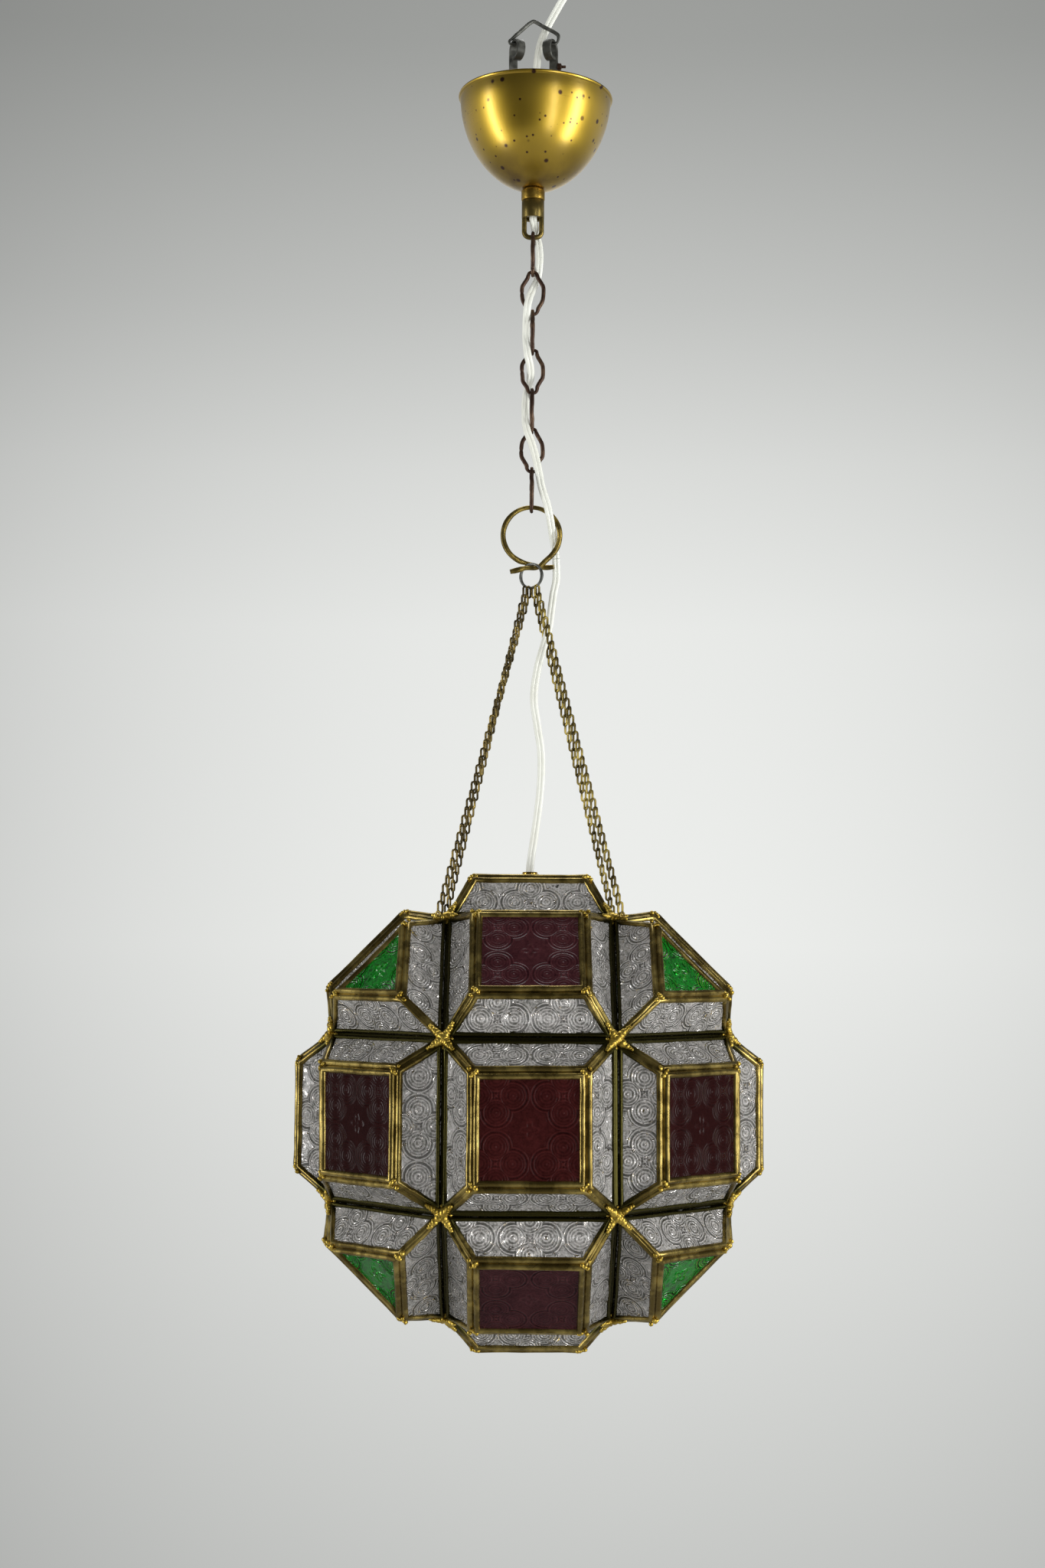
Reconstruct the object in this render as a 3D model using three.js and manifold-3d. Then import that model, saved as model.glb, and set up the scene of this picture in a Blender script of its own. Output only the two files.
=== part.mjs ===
// Pendant lantern: a 26-faced glass lantern hung by four fine chains, a ring and a link
// chain from a brass ceiling cup. Millimetres, +Z up. The origin is where a ceiling hook
// touches the bail from below its apex, and the front looks towards -Y.
import * as THREE from 'three';
import { mergeVertices } from 'three/addons/utils/BufferGeometryUtils.js';
import Module from 'manifold-3d';

const wasm = await Module();
wasm.setup();

// Clearances
const gap = 0.3;             // between pieces that touch
const threadClearance = 0.3; // radial, between the threaded tube and what it passes through

// Lantern body: squares and triangles, each carrying a raised boss of glass panes
const valleyEdge = 105;      // side of every square and triangle, along the valleys
const squareRise = 23.3;
const squareTop = 69.6;      // side of the coloured square on a square boss
const triangleRise = 28.3;
const triangleTop = 65.8;    // side of the coloured triangle on a triangular boss
const cameWidth = 5.5;       // brass channel along each pane's edge
const cameDepth = 3.2;
const paneSeat = 0.5;        // how far a coloured pane lies below its channel's face
const paneThickness = 2.2;
const clearThickness = 1.8;
const glassParting = 0.4;    // between the upper, middle and lower clear panes
const eyeRadius = 2.6;       // wire eyes that the fine chains end in
const eyeWire = 1.2;
const eyeAlong = 8.1;        // from a valley corner outwards along the triangle's ridge
const eyeStand = 1.8;        // from the ridge up to an eye's centre

// Access door: the boss at the back
const doorGap = 0.3;
const hingePinDiameter = 2.2;
const knuckleWall = 1.2;
const knuckleLength = 14;
const doorKnuckleLength = 26;
const hingeLeaf = 1.4;
const hingePinHead = 1.2;
const pullTabSize = [1.4, 8.5, 12];
const pullTabInset = 2.5;    // from the valley edge

// Lampholder and the bushing that carries it
const bushingBore = 6.6;
const bushingNeck = 9;
const bushingFlange = 12.4;
const bushingFlangeHeight = 3.8;
const lampholderDiameter = 39;
const lampholderCapHeight = 25;
const lampholderShellHeight = 30;
const lampholderSocket = 28;
const lampholderSocketDepth = 22;
const lampholderWall = 2;

// Bail and hanger fork
const bailWire = 1.8;
const bailHeight = 15;       // from the hook down to the wire ends in the fork's eyes
const bailHalfWidth = 16.6;
const bailCornerDrop = 11;
const bailLean = 2;          // how much higher the bail's right corner sits than the middle
const forkThickness = 1.8;
const prongWidth = 6;
const prongOffset = 11.2;    // centre of each prong from the middle
const forkEyeRadius = 7;     // outer radius of a prong's curled end
const forkFootHalfWidth = 11;
const forkFootDepth = 9;     // towards the front
const forkShoulder = 14;     // from the foot up to where the prongs part

// Ceiling cup and the threaded tube through it
const cupRadius = 51;
const cupDepth = 63.7;
const cupWall = 1;
const cupFullness = 0.55;    // exponent of the cup's profile
const cupFootRadius = 9;
const cupRimDrop = 52.5;     // from the hook down to the rim
const lipHeight = 2.2;
const lipReach = 0.7;
const tubeDiameter = 10;
const tubeBore = 6.6;
const tubeShoulderRadius = 8.5;
const tubeShoulderHeight = 3.4;
const tubeAboveNut = 4;
const nutAcrossFlats = 17;
const nutHeight = 6;
const collarDiameter = 15.8;
const collarHeight = 7.9;

// Hang loop below the cup
const sleeveDiameter = 15.2;
const sleeveHeight = 11.9;
const loopRod = 3.4;
const loopHalfWidth = 5.8;   // to the centre of each leg
const loopDrop = 12.8;       // from the sleeve's end to the centre of the bar
const loopCorner = 3.6;

// Link chain
const linkCount = 7;
const linkWire = 2.2;
const linkLength = 31.6;
const linkWidth = 15.8;
const linkNeck = 9;          // width over the pinched ends

// Ring at the chain's end and the small ring on its tail
const ringWire = 3;
const ringDiameter = 41;
const crossingDrop = 22;     // from the ring's centre down to its lower strand
const strandSpread = 3.8;    // between the two crossing strands, front to back
const smallRingDiameter = 18;
const smallRingWire = 1.8;
const smallRingTurn = THREE.MathUtils.degToRad(-30);

// Fine chains
const fineWidth = 4;
const fineWire = 0.95;
const finePitch = 5.65;
const fineSpacing = 2.4;     // between the chains' first links along the small ring
const fineDrop = 220.5;      // from the small ring's lowest wire down to the valley corners

// Cord
const cordDiameter = 4.2;
const cordStep = 8;          // spacing of the tube's sections along the route

// Terminal block on the supply end
const blockSize = [20, 13, 16];
const blockBottomZ = 33;
const blockX = 26.5;
const blockY = 5;
const blockScrewDiameter = 6;
const cordEntryDepth = 9;

// How round things are divided
const sides = 24;
const cupSides = 32;
const wireSides = 6;

// Heights of the stack, from the hook down
const pivotZ = -bailHeight;
const forkEyeZ = pivotZ - (forkEyeRadius - forkThickness - gap - bailWire / 2);
const forkBackY = nutAcrossFlats / 2 + 3 * gap;
const rimZ = -cupRimDrop;
const cupFootZ = rimZ - cupDepth;
const shoulderZ = cupFootZ + cupWall + gap;
const forkFootZ = shoulderZ + tubeShoulderHeight + gap;
const nutZ = forkFootZ + forkThickness + gap;
const collarZ = cupFootZ - gap;
const sleeveZ = collarZ - collarHeight - gap;
const loopZ = sleeveZ - sleeveHeight;
const barZ = loopZ - loopDrop;
const tubeEndZ = loopZ + 3;
const linkSpan = linkLength - linkWire;
const linkPitch = linkSpan - linkWire - gap;
const firstLinkZ = barZ + loopRod / 2 + gap + linkWire / 2;
const linkTopZ = (index) => firstLinkZ - index * linkPitch;
const linkBottomZ = (index) => linkTopZ(index) - linkSpan;
const ringRadius = (ringDiameter - ringWire) / 2;
const ringTopZ = linkBottomZ(linkCount - 1) + (linkWire + ringWire) / 2 + gap;
const ringCentreZ = ringTopZ - ringRadius;
const strandZ = ringCentreZ - crossingDrop;
const smallRingRadius = (smallRingDiameter - smallRingWire) / 2;
const smallRingZ = strandZ + (ringWire + smallRingWire) / 2 + gap - smallRingRadius;
const smallRingBottomZ = smallRingZ - smallRingRadius;

// Lantern: proportions of the 26-faced body with a side of 1
const silver = 1 + Math.SQRT2;
const squareDistance = silver / 2;
const edgeDistance = Math.hypot(squareDistance, 0.5);
const triangleDistance = (2 + silver) / (2 * Math.sqrt(3));

// Heights of the lantern
const valleyTopZ = smallRingBottomZ - fineDrop;
const lanternZ = valleyTopZ - squareDistance * valleyEdge;
const paneFace = squareDistance * valleyEdge + squareRise - paneSeat;
const capTop = paneFace - paneThickness - gap;
const capBottom = capTop - lampholderCapHeight;
const shellTop = capBottom - gap;
const shellBottom = shellTop - lampholderShellHeight;

// Door hinge, seen from above: its axis stands off the valley between two bosses
const knuckleRadius = hingePinDiameter / 2 + gap + knuckleWall;
const hingeStand = knuckleRadius + gap + 0.05;
const hingeValley = new THREE.Vector2(-0.5, squareDistance).multiplyScalar(valleyEdge);
const hingeOutward = hingeValley.clone().normalize();
const doorSide = new THREE.Vector2(-squareRise, (valleyEdge - squareTop) / 2).normalize();
const hingeLean = doorSide.dot(hingeOutward);
const cageSide = hingeOutward.clone().multiplyScalar(2 * hingeLean).sub(doorSide);
const hingeAxis = hingeValley.clone().addScaledVector(hingeOutward, hingeStand / hingeLean);

// Materials
function finish(color, metalness, roughness, extra = {}) {
  return new THREE.MeshStandardMaterial({ color, metalness, roughness, ...extra });
}

const agedBrass = finish(0x8a6a1f, 1, 0.42);
const brightBrass = finish(0xc9952b, 1, 0.25);
const spunBrass = finish(0xb08a2e, 1, 0.3);
const darkBronze = finish(0x3a2a1c, 0.8, 0.5);
const greySteel = finish(0x55585a, 0.9, 0.4);
const whiteVinyl = finish(0xe8e4d8, 0, 0.45);
const blackResin = finish(0x1d1a18, 0, 0.5);
const whiteCeramic = finish(0xe9e7e1, 0, 0.35);
const maroonGlass = finish(0x4a1518, 0, 0.15);
const purpleGlass = finish(0x3a1420, 0, 0.15);
const greenGlass = finish(0x2e4a2c, 0, 0.15);
const clearGlass = finish(0xb9bfba, 0, 0.1, { transparent: true, opacity: 0.6 });

// Solids: joining and cutting
function toSolid(geometry) {
  const bare = new THREE.BufferGeometry();
  bare.setAttribute('position', geometry.attributes.position);
  bare.setIndex(geometry.index);
  const merged = mergeVertices(bare, 1e-4);
  const index = merged.index.array;
  const triangles = [];
  for (let i = 0; i < index.length; i += 3) {
    const [a, b, c] = [index[i], index[i + 1], index[i + 2]];
    if (a !== b && b !== c && c !== a) triangles.push(a, b, c);
  }
  const mesh = new wasm.Mesh({
    numProp: 3,
    vertProperties: new Float32Array(merged.attributes.position.array),
    triVerts: new Uint32Array(triangles),
  });
  return new wasm.Manifold(mesh);
}

function toGeometry(solid) {
  const mesh = solid.getMesh();
  const geometry = new THREE.BufferGeometry();
  geometry.setAttribute('position', new THREE.BufferAttribute(mesh.vertProperties, 3));
  geometry.setIndex(new THREE.BufferAttribute(mesh.triVerts, 1));
  geometry.computeVertexNormals();
  return geometry;
}

function join(...geometries) {
  return toGeometry(geometries.map(toSolid).reduce((all, next) => all.add(next)));
}

function cut(geometry, ...tools) {
  return toGeometry(tools.map(toSolid).reduce((left, tool) => left.subtract(tool), toSolid(geometry)));
}

function shared(one, other) {
  return toGeometry(toSolid(one).intersect(toSolid(other)));
}

// Building blocks
function block(size, centre) {
  return new THREE.BoxGeometry(...size).translate(...centre);
}

function cylinderZ(radius, bottom, top, count = sides) {
  return new THREE.CylinderGeometry(radius, radius, top - bottom, count)
    .rotateX(Math.PI / 2)
    .translate(0, 0, (top + bottom) / 2);
}

// A turned piece: (radius, z) points run up its outside, and close on themselves or the axis
function turned(points, count = sides) {
  const profile = points.map(([radius, z]) => new THREE.Vector2(radius, z));
  if (points[0][0] > 0) profile.push(profile[0].clone());
  return new THREE.LatheGeometry(profile, count).rotateX(Math.PI / 2);
}

function roundSection(diameter, count) {
  const corners = [];
  for (let i = 0; i < count; i++) {
    const angle = ((i + 0.5) / count) * 2 * Math.PI;
    corners.push(new THREE.Vector2(Math.cos(angle), Math.sin(angle)).multiplyScalar(diameter / 2));
  }
  return new THREE.Shape(corners);
}

function rod(curve, diameter, steps, count = wireSides) {
  return new THREE.ExtrudeGeometry(roundSection(diameter, count), {
    steps,
    extrudePath: curve,
    bevelEnabled: false,
  });
}

function closedWire(curve, diameter, steps, count = wireSides) {
  return new THREE.TubeGeometry(curve, steps, diameter / 2, count, true);
}

function points3(list) {
  return list.map((point) => new THREE.Vector3(...point));
}

// The 26 faces: name, normal, and the corners of its valley outline for a side of 1
function valleyCorners() {
  const corners = [];
  for (const long of [0, 1, 2]) {
    for (let signs = 0; signs < 8; signs++) {
      const corner = [0, 1, 2].map((axis) => {
        const reach = axis === long ? squareDistance : 0.5;
        return signs & (1 << axis) ? reach : -reach;
      });
      corners.push(new THREE.Vector3(...corner));
    }
  }
  return corners;
}

function faceName([x, y, z]) {
  if (!x && !y) return z > 0 ? 'top' : 'bottom';
  const parts = [['lower', '', 'upper'][z + 1], ['front', '', 'back'][y + 1], ['left', '', 'right'][x + 1]];
  return parts.filter(Boolean).join('_');
}

function aroundNormal(corners, normal) {
  const first = corners[0].clone().projectOnPlane(normal).normalize();
  const second = new THREE.Vector3().crossVectors(normal, first);
  const angle = (corner) => Math.atan2(corner.dot(second), corner.dot(first));
  return [...corners].sort((a, b) => angle(a) - angle(b));
}

function lanternFace(direction, corners) {
  const normal = new THREE.Vector3(...direction).normalize();
  const triangular = direction.every((value) => value !== 0);
  const distance = triangular ? triangleDistance : squareDistance;
  const own = corners.filter((corner) => corner.dot(normal) > distance - 0.01);
  const name = faceName(direction);
  return { name, level: direction[2], normal, triangular, distance, corners: aroundNormal(own, normal) };
}

function lanternFaces() {
  const corners = valleyCorners();
  const faces = [];
  for (const x of [-1, 0, 1]) {
    for (const y of [-1, 0, 1]) {
      for (const z of [-1, 0, 1]) {
        if (x || y || z) faces.push(lanternFace([x, y, z], corners));
      }
    }
  }
  return faces;
}

// A boss's valley corners and top corners, on the surface at a depth below the outside.
// move shifts the valley corners.
function layer(face, depth, move = (corner) => corner) {
  const side = valleyEdge - depth / edgeDistance;
  const rise = face.triangular ? triangleRise : squareRise;
  const topSide = face.triangular ? triangleTop : squareTop;
  const lift = face.distance * (valleyEdge - side) + rise - depth;
  const width = side - ((valleyEdge - topSide) * lift) / rise;
  const centre = face.normal.clone().multiplyScalar(face.distance * side);
  const base = face.corners.map((corner) => move(corner.clone().multiplyScalar(side), face));
  const top = face.corners.map((corner) => corner.clone().multiplyScalar(side)
    .sub(centre)
    .multiplyScalar(width / side)
    .add(centre)
    .addScaledVector(face.normal, lift));
  return { base, top };
}

// The outlines of one boss's panes: its coloured top, then its slanted clear sides
function panesOf(face, depth, move) {
  const { base, top } = layer(face, depth, move);
  const slanted = base.map((corner, i) => {
    const next = (i + 1) % base.length;
    return [corner, base[next], top[next], top[i]];
  });
  return [top, ...slanted];
}

// A convex outline drawn in from each side by the same distance
function drawnIn(outline, distance) {
  const count = outline.length;
  const normal = new THREE.Vector3();
  outline.forEach((point, i) => normal.add(point.clone().cross(outline[(i + 1) % count])));
  normal.normalize();
  const inward = outline.map((point, i) => {
    const along = outline[(i + 1) % count].clone().sub(point).normalize();
    return normal.clone().cross(along);
  });
  return outline.map((point, i) => {
    const before = inward[(i + count - 1) % count];
    const share = distance / (1 + before.dot(inward[i]));
    return point.clone().addScaledVector(before, share).addScaledVector(inward[i], share);
  });
}

// A closed surface gathered polygon by polygon
class Surface {
  constructor() {
    this.positions = [];
  }

  polygon(...corners) {
    for (let i = 1; i + 1 < corners.length; i++) {
      for (const corner of [corners[0], corners[i], corners[i + 1]]) this.positions.push(...corner);
    }
  }

  band(from, to) {
    from.forEach((point, i) => {
      const next = (i + 1) % from.length;
      this.polygon(point, from[next], to[next], to[i]);
    });
  }

  geometry() {
    const geometry = new THREE.BufferGeometry();
    geometry.setAttribute('position', new THREE.Float32BufferAttribute(this.positions, 3));
    const merged = mergeVertices(geometry, 1e-3);
    merged.computeVertexNormals();
    return merged;
  }
}

// Valley edges that a set of bosses doesn't share get a wall between two depths
function edgeKey(from, to) {
  const text = (corner) => corner.toArray().map((value) => value.toFixed(3)).join(',');
  return `${text(from)}>${text(to)}`;
}

function closeOpenEdges(surface, faces, outerDepth, innerDepth, move) {
  const nextTo = (list, i) => list[(i + 1) % list.length];
  const seen = new Set();
  for (const { corners } of faces) {
    corners.forEach((corner, i) => seen.add(edgeKey(corner, nextTo(corners, i))));
  }
  for (const face of faces) {
    const outer = layer(face, outerDepth, move).base;
    const inner = layer(face, innerDepth, move).base;
    face.corners.forEach((corner, i) => {
      if (seen.has(edgeKey(nextTo(face.corners, i), corner))) return;
      surface.polygon(nextTo(outer, i), outer[i], inner[i], nextTo(inner, i));
    });
  }
}

// The brass channels of a set of bosses, with a window for every pane
function channelWork(faces, move) {
  const surface = new Surface();
  for (const face of faces) {
    const inner = panesOf(face, cameDepth, move);
    panesOf(face, 0, move).forEach((outline, i) => {
      const window = drawnIn(outline, cameWidth);
      const innerWindow = drawnIn(inner[i], cameWidth);
      surface.band(outline, window);
      surface.band(window, innerWindow);
      surface.band(innerWindow, inner[i]);
    });
  }
  closeOpenEdges(surface, faces, 0, cameDepth, move);
  return surface.geometry();
}

// The slanted clear panes of a set of bosses, joined along the valleys behind the brass
function clearWork(faces, move) {
  const surface = new Surface();
  const outerDepth = cameDepth + 1.2 * gap;
  const innerDepth = outerDepth + clearThickness;
  for (const face of faces) {
    const inner = panesOf(face, innerDepth, move);
    panesOf(face, outerDepth, move).forEach((outline, i) => {
      if (i === 0) return;
      surface.polygon(...outline);
      surface.polygon(...[...inner[i]].reverse());
      surface.polygon(outline[3], outline[2], inner[i][2], inner[i][3]);
    });
  }
  closeOpenEdges(surface, faces, outerDepth, innerDepth, move);
  return surface.geometry();
}

function colouredPane(face, move) {
  const outer = drawnIn(layer(face, paneSeat, move).top, cameWidth + gap);
  const inner = drawnIn(layer(face, paneSeat + paneThickness, move).top, cameWidth + gap);
  const surface = new Surface();
  surface.polygon(...outer);
  surface.polygon(...[...inner].reverse());
  surface.band(inner, outer);
  return surface.geometry();
}

function topPane(face) {
  const hole = cylinderZ(bushingNeck / 2 + gap, paneFace - 2 * paneThickness, paneFace + paneThickness);
  return cut(colouredPane(face), hole);
}

// Valley corners moved for the door, which clears its opening, and for the clear panes,
// which are parted above and below the belt
function doorCorner(corner, face) {
  const centre = face.normal.clone().multiplyScalar(corner.dot(face.normal));
  const width = corner.distanceTo(centre) * Math.SQRT2;
  return corner.sub(centre).multiplyScalar(1 - (2 * doorGap) / width).add(centre)
    .addScaledVector(face.normal, doorGap);
}

function partedCorner(level) {
  return (corner) => {
    if (Math.abs(corner.z) > 0.6 * valleyEdge) return corner;
    corner.z += (glassParting / 2) * (level || -Math.sign(corner.z));
    return corner;
  };
}

// Door hinge parts, in the lantern's frame
function knuckle(bottom, height, side) {
  const barrel = cylinderZ(knuckleRadius, bottom, bottom + height);
  const reach = hingeStand + cameDepth / 2;
  const leaf = block([hingeLeaf, reach, height], [0, -reach / 2, bottom + height / 2])
    .rotateZ(Math.atan2(side.y, side.x) - Math.PI / 2);
  return join(barrel, leaf).translate(hingeAxis.x, hingeAxis.y, 0);
}

function hingeBore() {
  const half = doorKnuckleLength / 2 + knuckleLength + 2 * gap;
  return cylinderZ(hingePinDiameter / 2 + gap, -half, half).translate(hingeAxis.x, hingeAxis.y, 0);
}

function hingePin() {
  const radius = hingePinDiameter / 2;
  const neck = doorKnuckleLength / 2 + knuckleLength + 2 * gap;
  const head = neck + hingePinHead;
  return turned([
    [0, -head], [2 * radius, -head], [2 * radius, -neck], [radius, -neck],
    [radius, neck], [2 * radius, neck], [2 * radius, head], [0, head],
  ]).translate(hingeAxis.x, hingeAxis.y, 0);
}

// Where the wire eyes stand: on the ridges of the upper corner triangles, near the valley
// corners around the top boss
function eyeCentre(x, y) {
  const direction = [x, y, 1];
  const { base, top } = layer(lanternFace(direction, valleyCorners()), 0);
  const seat = base.findIndex((corner) => corner.z > 0.6 * valleyEdge);
  const ridge = top[seat].clone().sub(base[seat]).normalize();
  const up = new THREE.Vector3(0, 0, eyeStand);
  return base[seat].clone().addScaledVector(ridge, eyeAlong).add(up);
}

function wireEye({ x, y }) {
  const centre = eyeCentre(x, y);
  return new THREE.TorusGeometry(eyeRadius - eyeWire / 2, eyeWire / 2, wireSides, 16)
    .rotateX(Math.PI / 2)
    .rotateZ(Math.atan2(y, x))
    .translate(centre.x, centre.y, centre.z);
}

function lanternCage(faces) {
  const start = doorKnuckleLength / 2 + gap;
  const work = join(
    channelWork(faces),
    ...fineChains.map(wireEye),
    knuckle(start, knuckleLength, cageSide),
    knuckle(-start - knuckleLength, knuckleLength, cageSide),
  );
  return cut(work, hingeBore());
}

function doorFrame(face) {
  const [thickness, height, length] = pullTabSize;
  const seat = squareDistance * valleyEdge;
  const slope = (2 * squareRise) / (valleyEdge - squareTop);
  const surfaceY = seat + slope * pullTabInset;
  const tab = block(
    [thickness, height, length],
    [valleyEdge / 2 - pullTabInset, surfaceY + height / 2 - cameDepth / 2, 0],
  );
  const middle = knuckle(-doorKnuckleLength / 2, doorKnuckleLength, doorSide);
  return cut(join(channelWork([face], doorCorner), middle, tab), hingeBore());
}

// Lampholder, in the lantern's frame
function cordBushing() {
  const seat = paneFace + gap;
  const flange = bushingFlange / 2;
  return turned([
    [bushingBore / 2, capTop - 6], [bushingNeck / 2, capTop - 6], [bushingNeck / 2, seat],
    [flange, seat], [flange, seat + 0.6 * bushingFlangeHeight],
    [flange - 1.2, seat + bushingFlangeHeight], [bushingBore / 2, seat + bushingFlangeHeight],
  ]);
}

function lampholderCap() {
  const radius = lampholderDiameter / 2;
  const neck = bushingNeck / 2;
  return turned([
    [radius - lampholderWall, capBottom], [radius, capBottom], [radius, capBottom + 2],
    [2 * neck, capTop - 6], [neck + 2.5, capTop], [neck + gap, capTop], [neck + gap, capTop - 8],
    [neck + 3, capTop - 8], [radius - lampholderWall, capBottom + 2],
  ]);
}

function lampholderShell() {
  const radius = lampholderDiameter / 2;
  const floor = shellBottom + lampholderSocketDepth;
  return turned([
    [0, floor], [lampholderSocket / 2, floor], [lampholderSocket / 2, shellBottom],
    [radius + 1, shellBottom], [radius - gap, shellTop], [0, shellTop],
  ]);
}

// Bail: a bent wire whose ends turn in through the fork's eyes. It was bent by hand, so
// its right corner is higher than its left.
function bail() {
  const outerEdge = prongOffset + prongWidth / 2;
  const innerEdge = prongOffset - prongWidth / 2;
  const side = (way) => [
    [innerEdge + gap, pivotZ],
    [prongOffset, pivotZ],
    [outerEdge + gap, pivotZ],
    [bailHalfWidth - 0.3, pivotZ + 1.2 + 0.4 * way * bailLean],
    [bailHalfWidth, way * bailLean - bailCornerDrop],
    [bailHalfWidth - 2.4, 2.2 + way * bailLean - bailCornerDrop],
    [bailHalfWidth / 2, 0.42 * (way * bailLean - bailCornerDrop)],
    [2.2, bailWire / 2 - 1],
  ].map(([x, z]) => new THREE.Vector3(way * x, 0, z));
  const apex = new THREE.Vector3(0, 0, bailWire / 2);
  const path = new THREE.CatmullRomCurve3([...side(1), apex, ...side(-1).reverse()]);
  return rod(path, bailWire, 48);
}

// Hanger fork: a foot with a hole, an upright that leans in over the nut and splits into
// two prongs, and a curled eye on each
function plate(outline, depth) {
  const shape = new THREE.Shape(outline.map((point) => new THREE.Vector2(...point)));
  return new THREE.ExtrudeGeometry(shape, { depth, bevelEnabled: false }).rotateX(Math.PI / 2);
}

function forkUpright() {
  const outerEdge = prongOffset + prongWidth / 2;
  const innerEdge = prongOffset - prongWidth / 2;
  const shoulder = forkFootZ + forkShoulder;
  const half = [
    [forkFootHalfWidth, forkFootZ], [outerEdge, shoulder], [outerEdge, forkEyeZ],
    [innerEdge, forkEyeZ], [innerEdge, shoulder + 5],
  ];
  const outline = [...half, ...half.map(([x, z]) => [-x, z]).reverse()];
  const back = forkBackY + forkThickness;
  const inside = forkEyeRadius - forkThickness;
  const lean = forkFootZ + nutHeight + forkShoulder;
  const profile = [
    [forkBackY, forkFootZ], [back, forkFootZ], [back, lean - 8], [forkEyeRadius, lean],
    [forkEyeRadius, forkEyeZ], [inside, forkEyeZ], [inside, lean], [forkBackY, lean - 8],
  ];
  const face = plate(outline, 2 * back).translate(0, 2 * back, 0);
  const strip = plate(profile, 2 * outerEdge).rotateZ(Math.PI / 2).translate(-outerEdge, 0, 0);
  return shared(face, strip);
}

function forkEye(x) {
  const turn = 1.62 * Math.PI;
  const curl = new THREE.Shape().absarc(0, 0, forkEyeRadius, 0, turn, false);
  curl.absarc(0, 0, forkEyeRadius - forkThickness, turn, 0, true);
  return new THREE.ExtrudeGeometry(curl, { depth: prongWidth, bevelEnabled: false, curveSegments: 12 })
    .rotateX(Math.PI / 2)
    .rotateZ(Math.PI / 2)
    .translate(x - prongWidth / 2, 0, forkEyeZ);
}

function hangerFork() {
  const depth = forkFootDepth + forkBackY + forkThickness;
  const foot = block(
    [2 * forkFootHalfWidth, depth, forkThickness],
    [0, depth / 2 - forkFootDepth, forkFootZ + forkThickness / 2],
  );
  const hole = cylinderZ(tubeDiameter / 2 + threadClearance, forkFootZ - 1, forkFootZ + forkThickness + 1);
  return cut(join(forkUpright(), foot, forkEye(-prongOffset), forkEye(prongOffset)), hole);
}

// Threaded tube with the shoulder that clamps the cup
function threadedTube() {
  const radius = tubeDiameter / 2;
  const top = nutZ + nutHeight + tubeAboveNut;
  const shoulderTop = shoulderZ + tubeShoulderHeight;
  return turned([
    [tubeBore / 2, tubeEndZ], [radius, tubeEndZ], [radius, shoulderZ],
    [tubeShoulderRadius, shoulderZ], [tubeShoulderRadius, shoulderTop],
    [radius, shoulderTop], [radius, top], [tubeBore / 2, top],
  ]);
}

function hexNut() {
  const body = cylinderZ(nutAcrossFlats / Math.sqrt(3), nutZ, nutZ + nutHeight, 6).rotateZ(Math.PI / 6);
  const hole = cylinderZ(tubeDiameter / 2 + threadClearance, nutZ - 1, nutZ + nutHeight + 1);
  return cut(body, hole);
}

// Ceiling cup: a deep spun bowl, open at the top, with a rolled lip
function cupProfile(radius, depth) {
  const height = depth / Math.sqrt(1 - (cupFootRadius / radius) ** (1 / cupFullness));
  const points = [];
  const steps = 9;
  for (let i = 0; i <= steps; i++) {
    const down = depth * Math.sin((i / steps) * (Math.PI / 2));
    points.push([radius * (1 - (down / height) ** 2) ** cupFullness, rimZ - down]);
  }
  return points;
}

function ceilingCup() {
  const hole = tubeDiameter / 2 + threadClearance;
  const lip = cupRadius + lipReach;
  const outside = cupProfile(cupRadius, cupDepth).filter(([, z]) => z < rimZ - lipHeight);
  return turned([
    ...cupProfile(cupRadius - cupWall, cupDepth - cupWall),
    [hole, cupFootZ + cupWall], [hole, cupFootZ],
    ...outside.reverse(),
    [cupRadius, rimZ - lipHeight], [lip, rimZ - 0.7 * lipHeight],
    [lip, rimZ - 0.2 * lipHeight], [cupRadius + 0.5 * lipReach, rimZ],
  ], cupSides);
}

function collar() {
  const hole = tubeDiameter / 2 + threadClearance;
  const radius = collarDiameter / 2;
  const bottom = collarZ - collarHeight;
  return turned([
    [hole, bottom], [radius - 0.4, bottom], [radius, bottom + 0.6],
    [radius, collarZ - 1.2], [radius - 1, collarZ], [hole, collarZ],
  ]);
}

// Hang loop: a sleeve screwed on the tube, with a rod bent round below it
function hangLoop() {
  const hole = tubeDiameter / 2 + threadClearance;
  const outer = sleeveDiameter / 2;
  const body = turned([[hole, loopZ], [outer, loopZ], [outer, sleeveZ], [hole, sleeveZ]]);
  const half = points3([
    [loopHalfWidth, 0, loopZ + 1.5], [loopHalfWidth, 0, barZ + 1.6 * loopCorner],
    [loopHalfWidth - 0.1, 0, barZ + 0.8 * loopCorner],
    [loopHalfWidth - 0.3 * loopCorner, 0, barZ + 0.3 * loopCorner],
    [loopHalfWidth - 0.8 * loopCorner, 0, barZ + 0.04 * loopCorner],
  ]);
  const mirrored = half.map((point) => new THREE.Vector3(-point.x, 0, point.z)).reverse();
  const bar = new THREE.Vector3(0, 0, barZ);
  return join(body, rod(new THREE.CatmullRomCurve3([...half, bar, ...mirrored]), loopRod, 22, 8));
}

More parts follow.
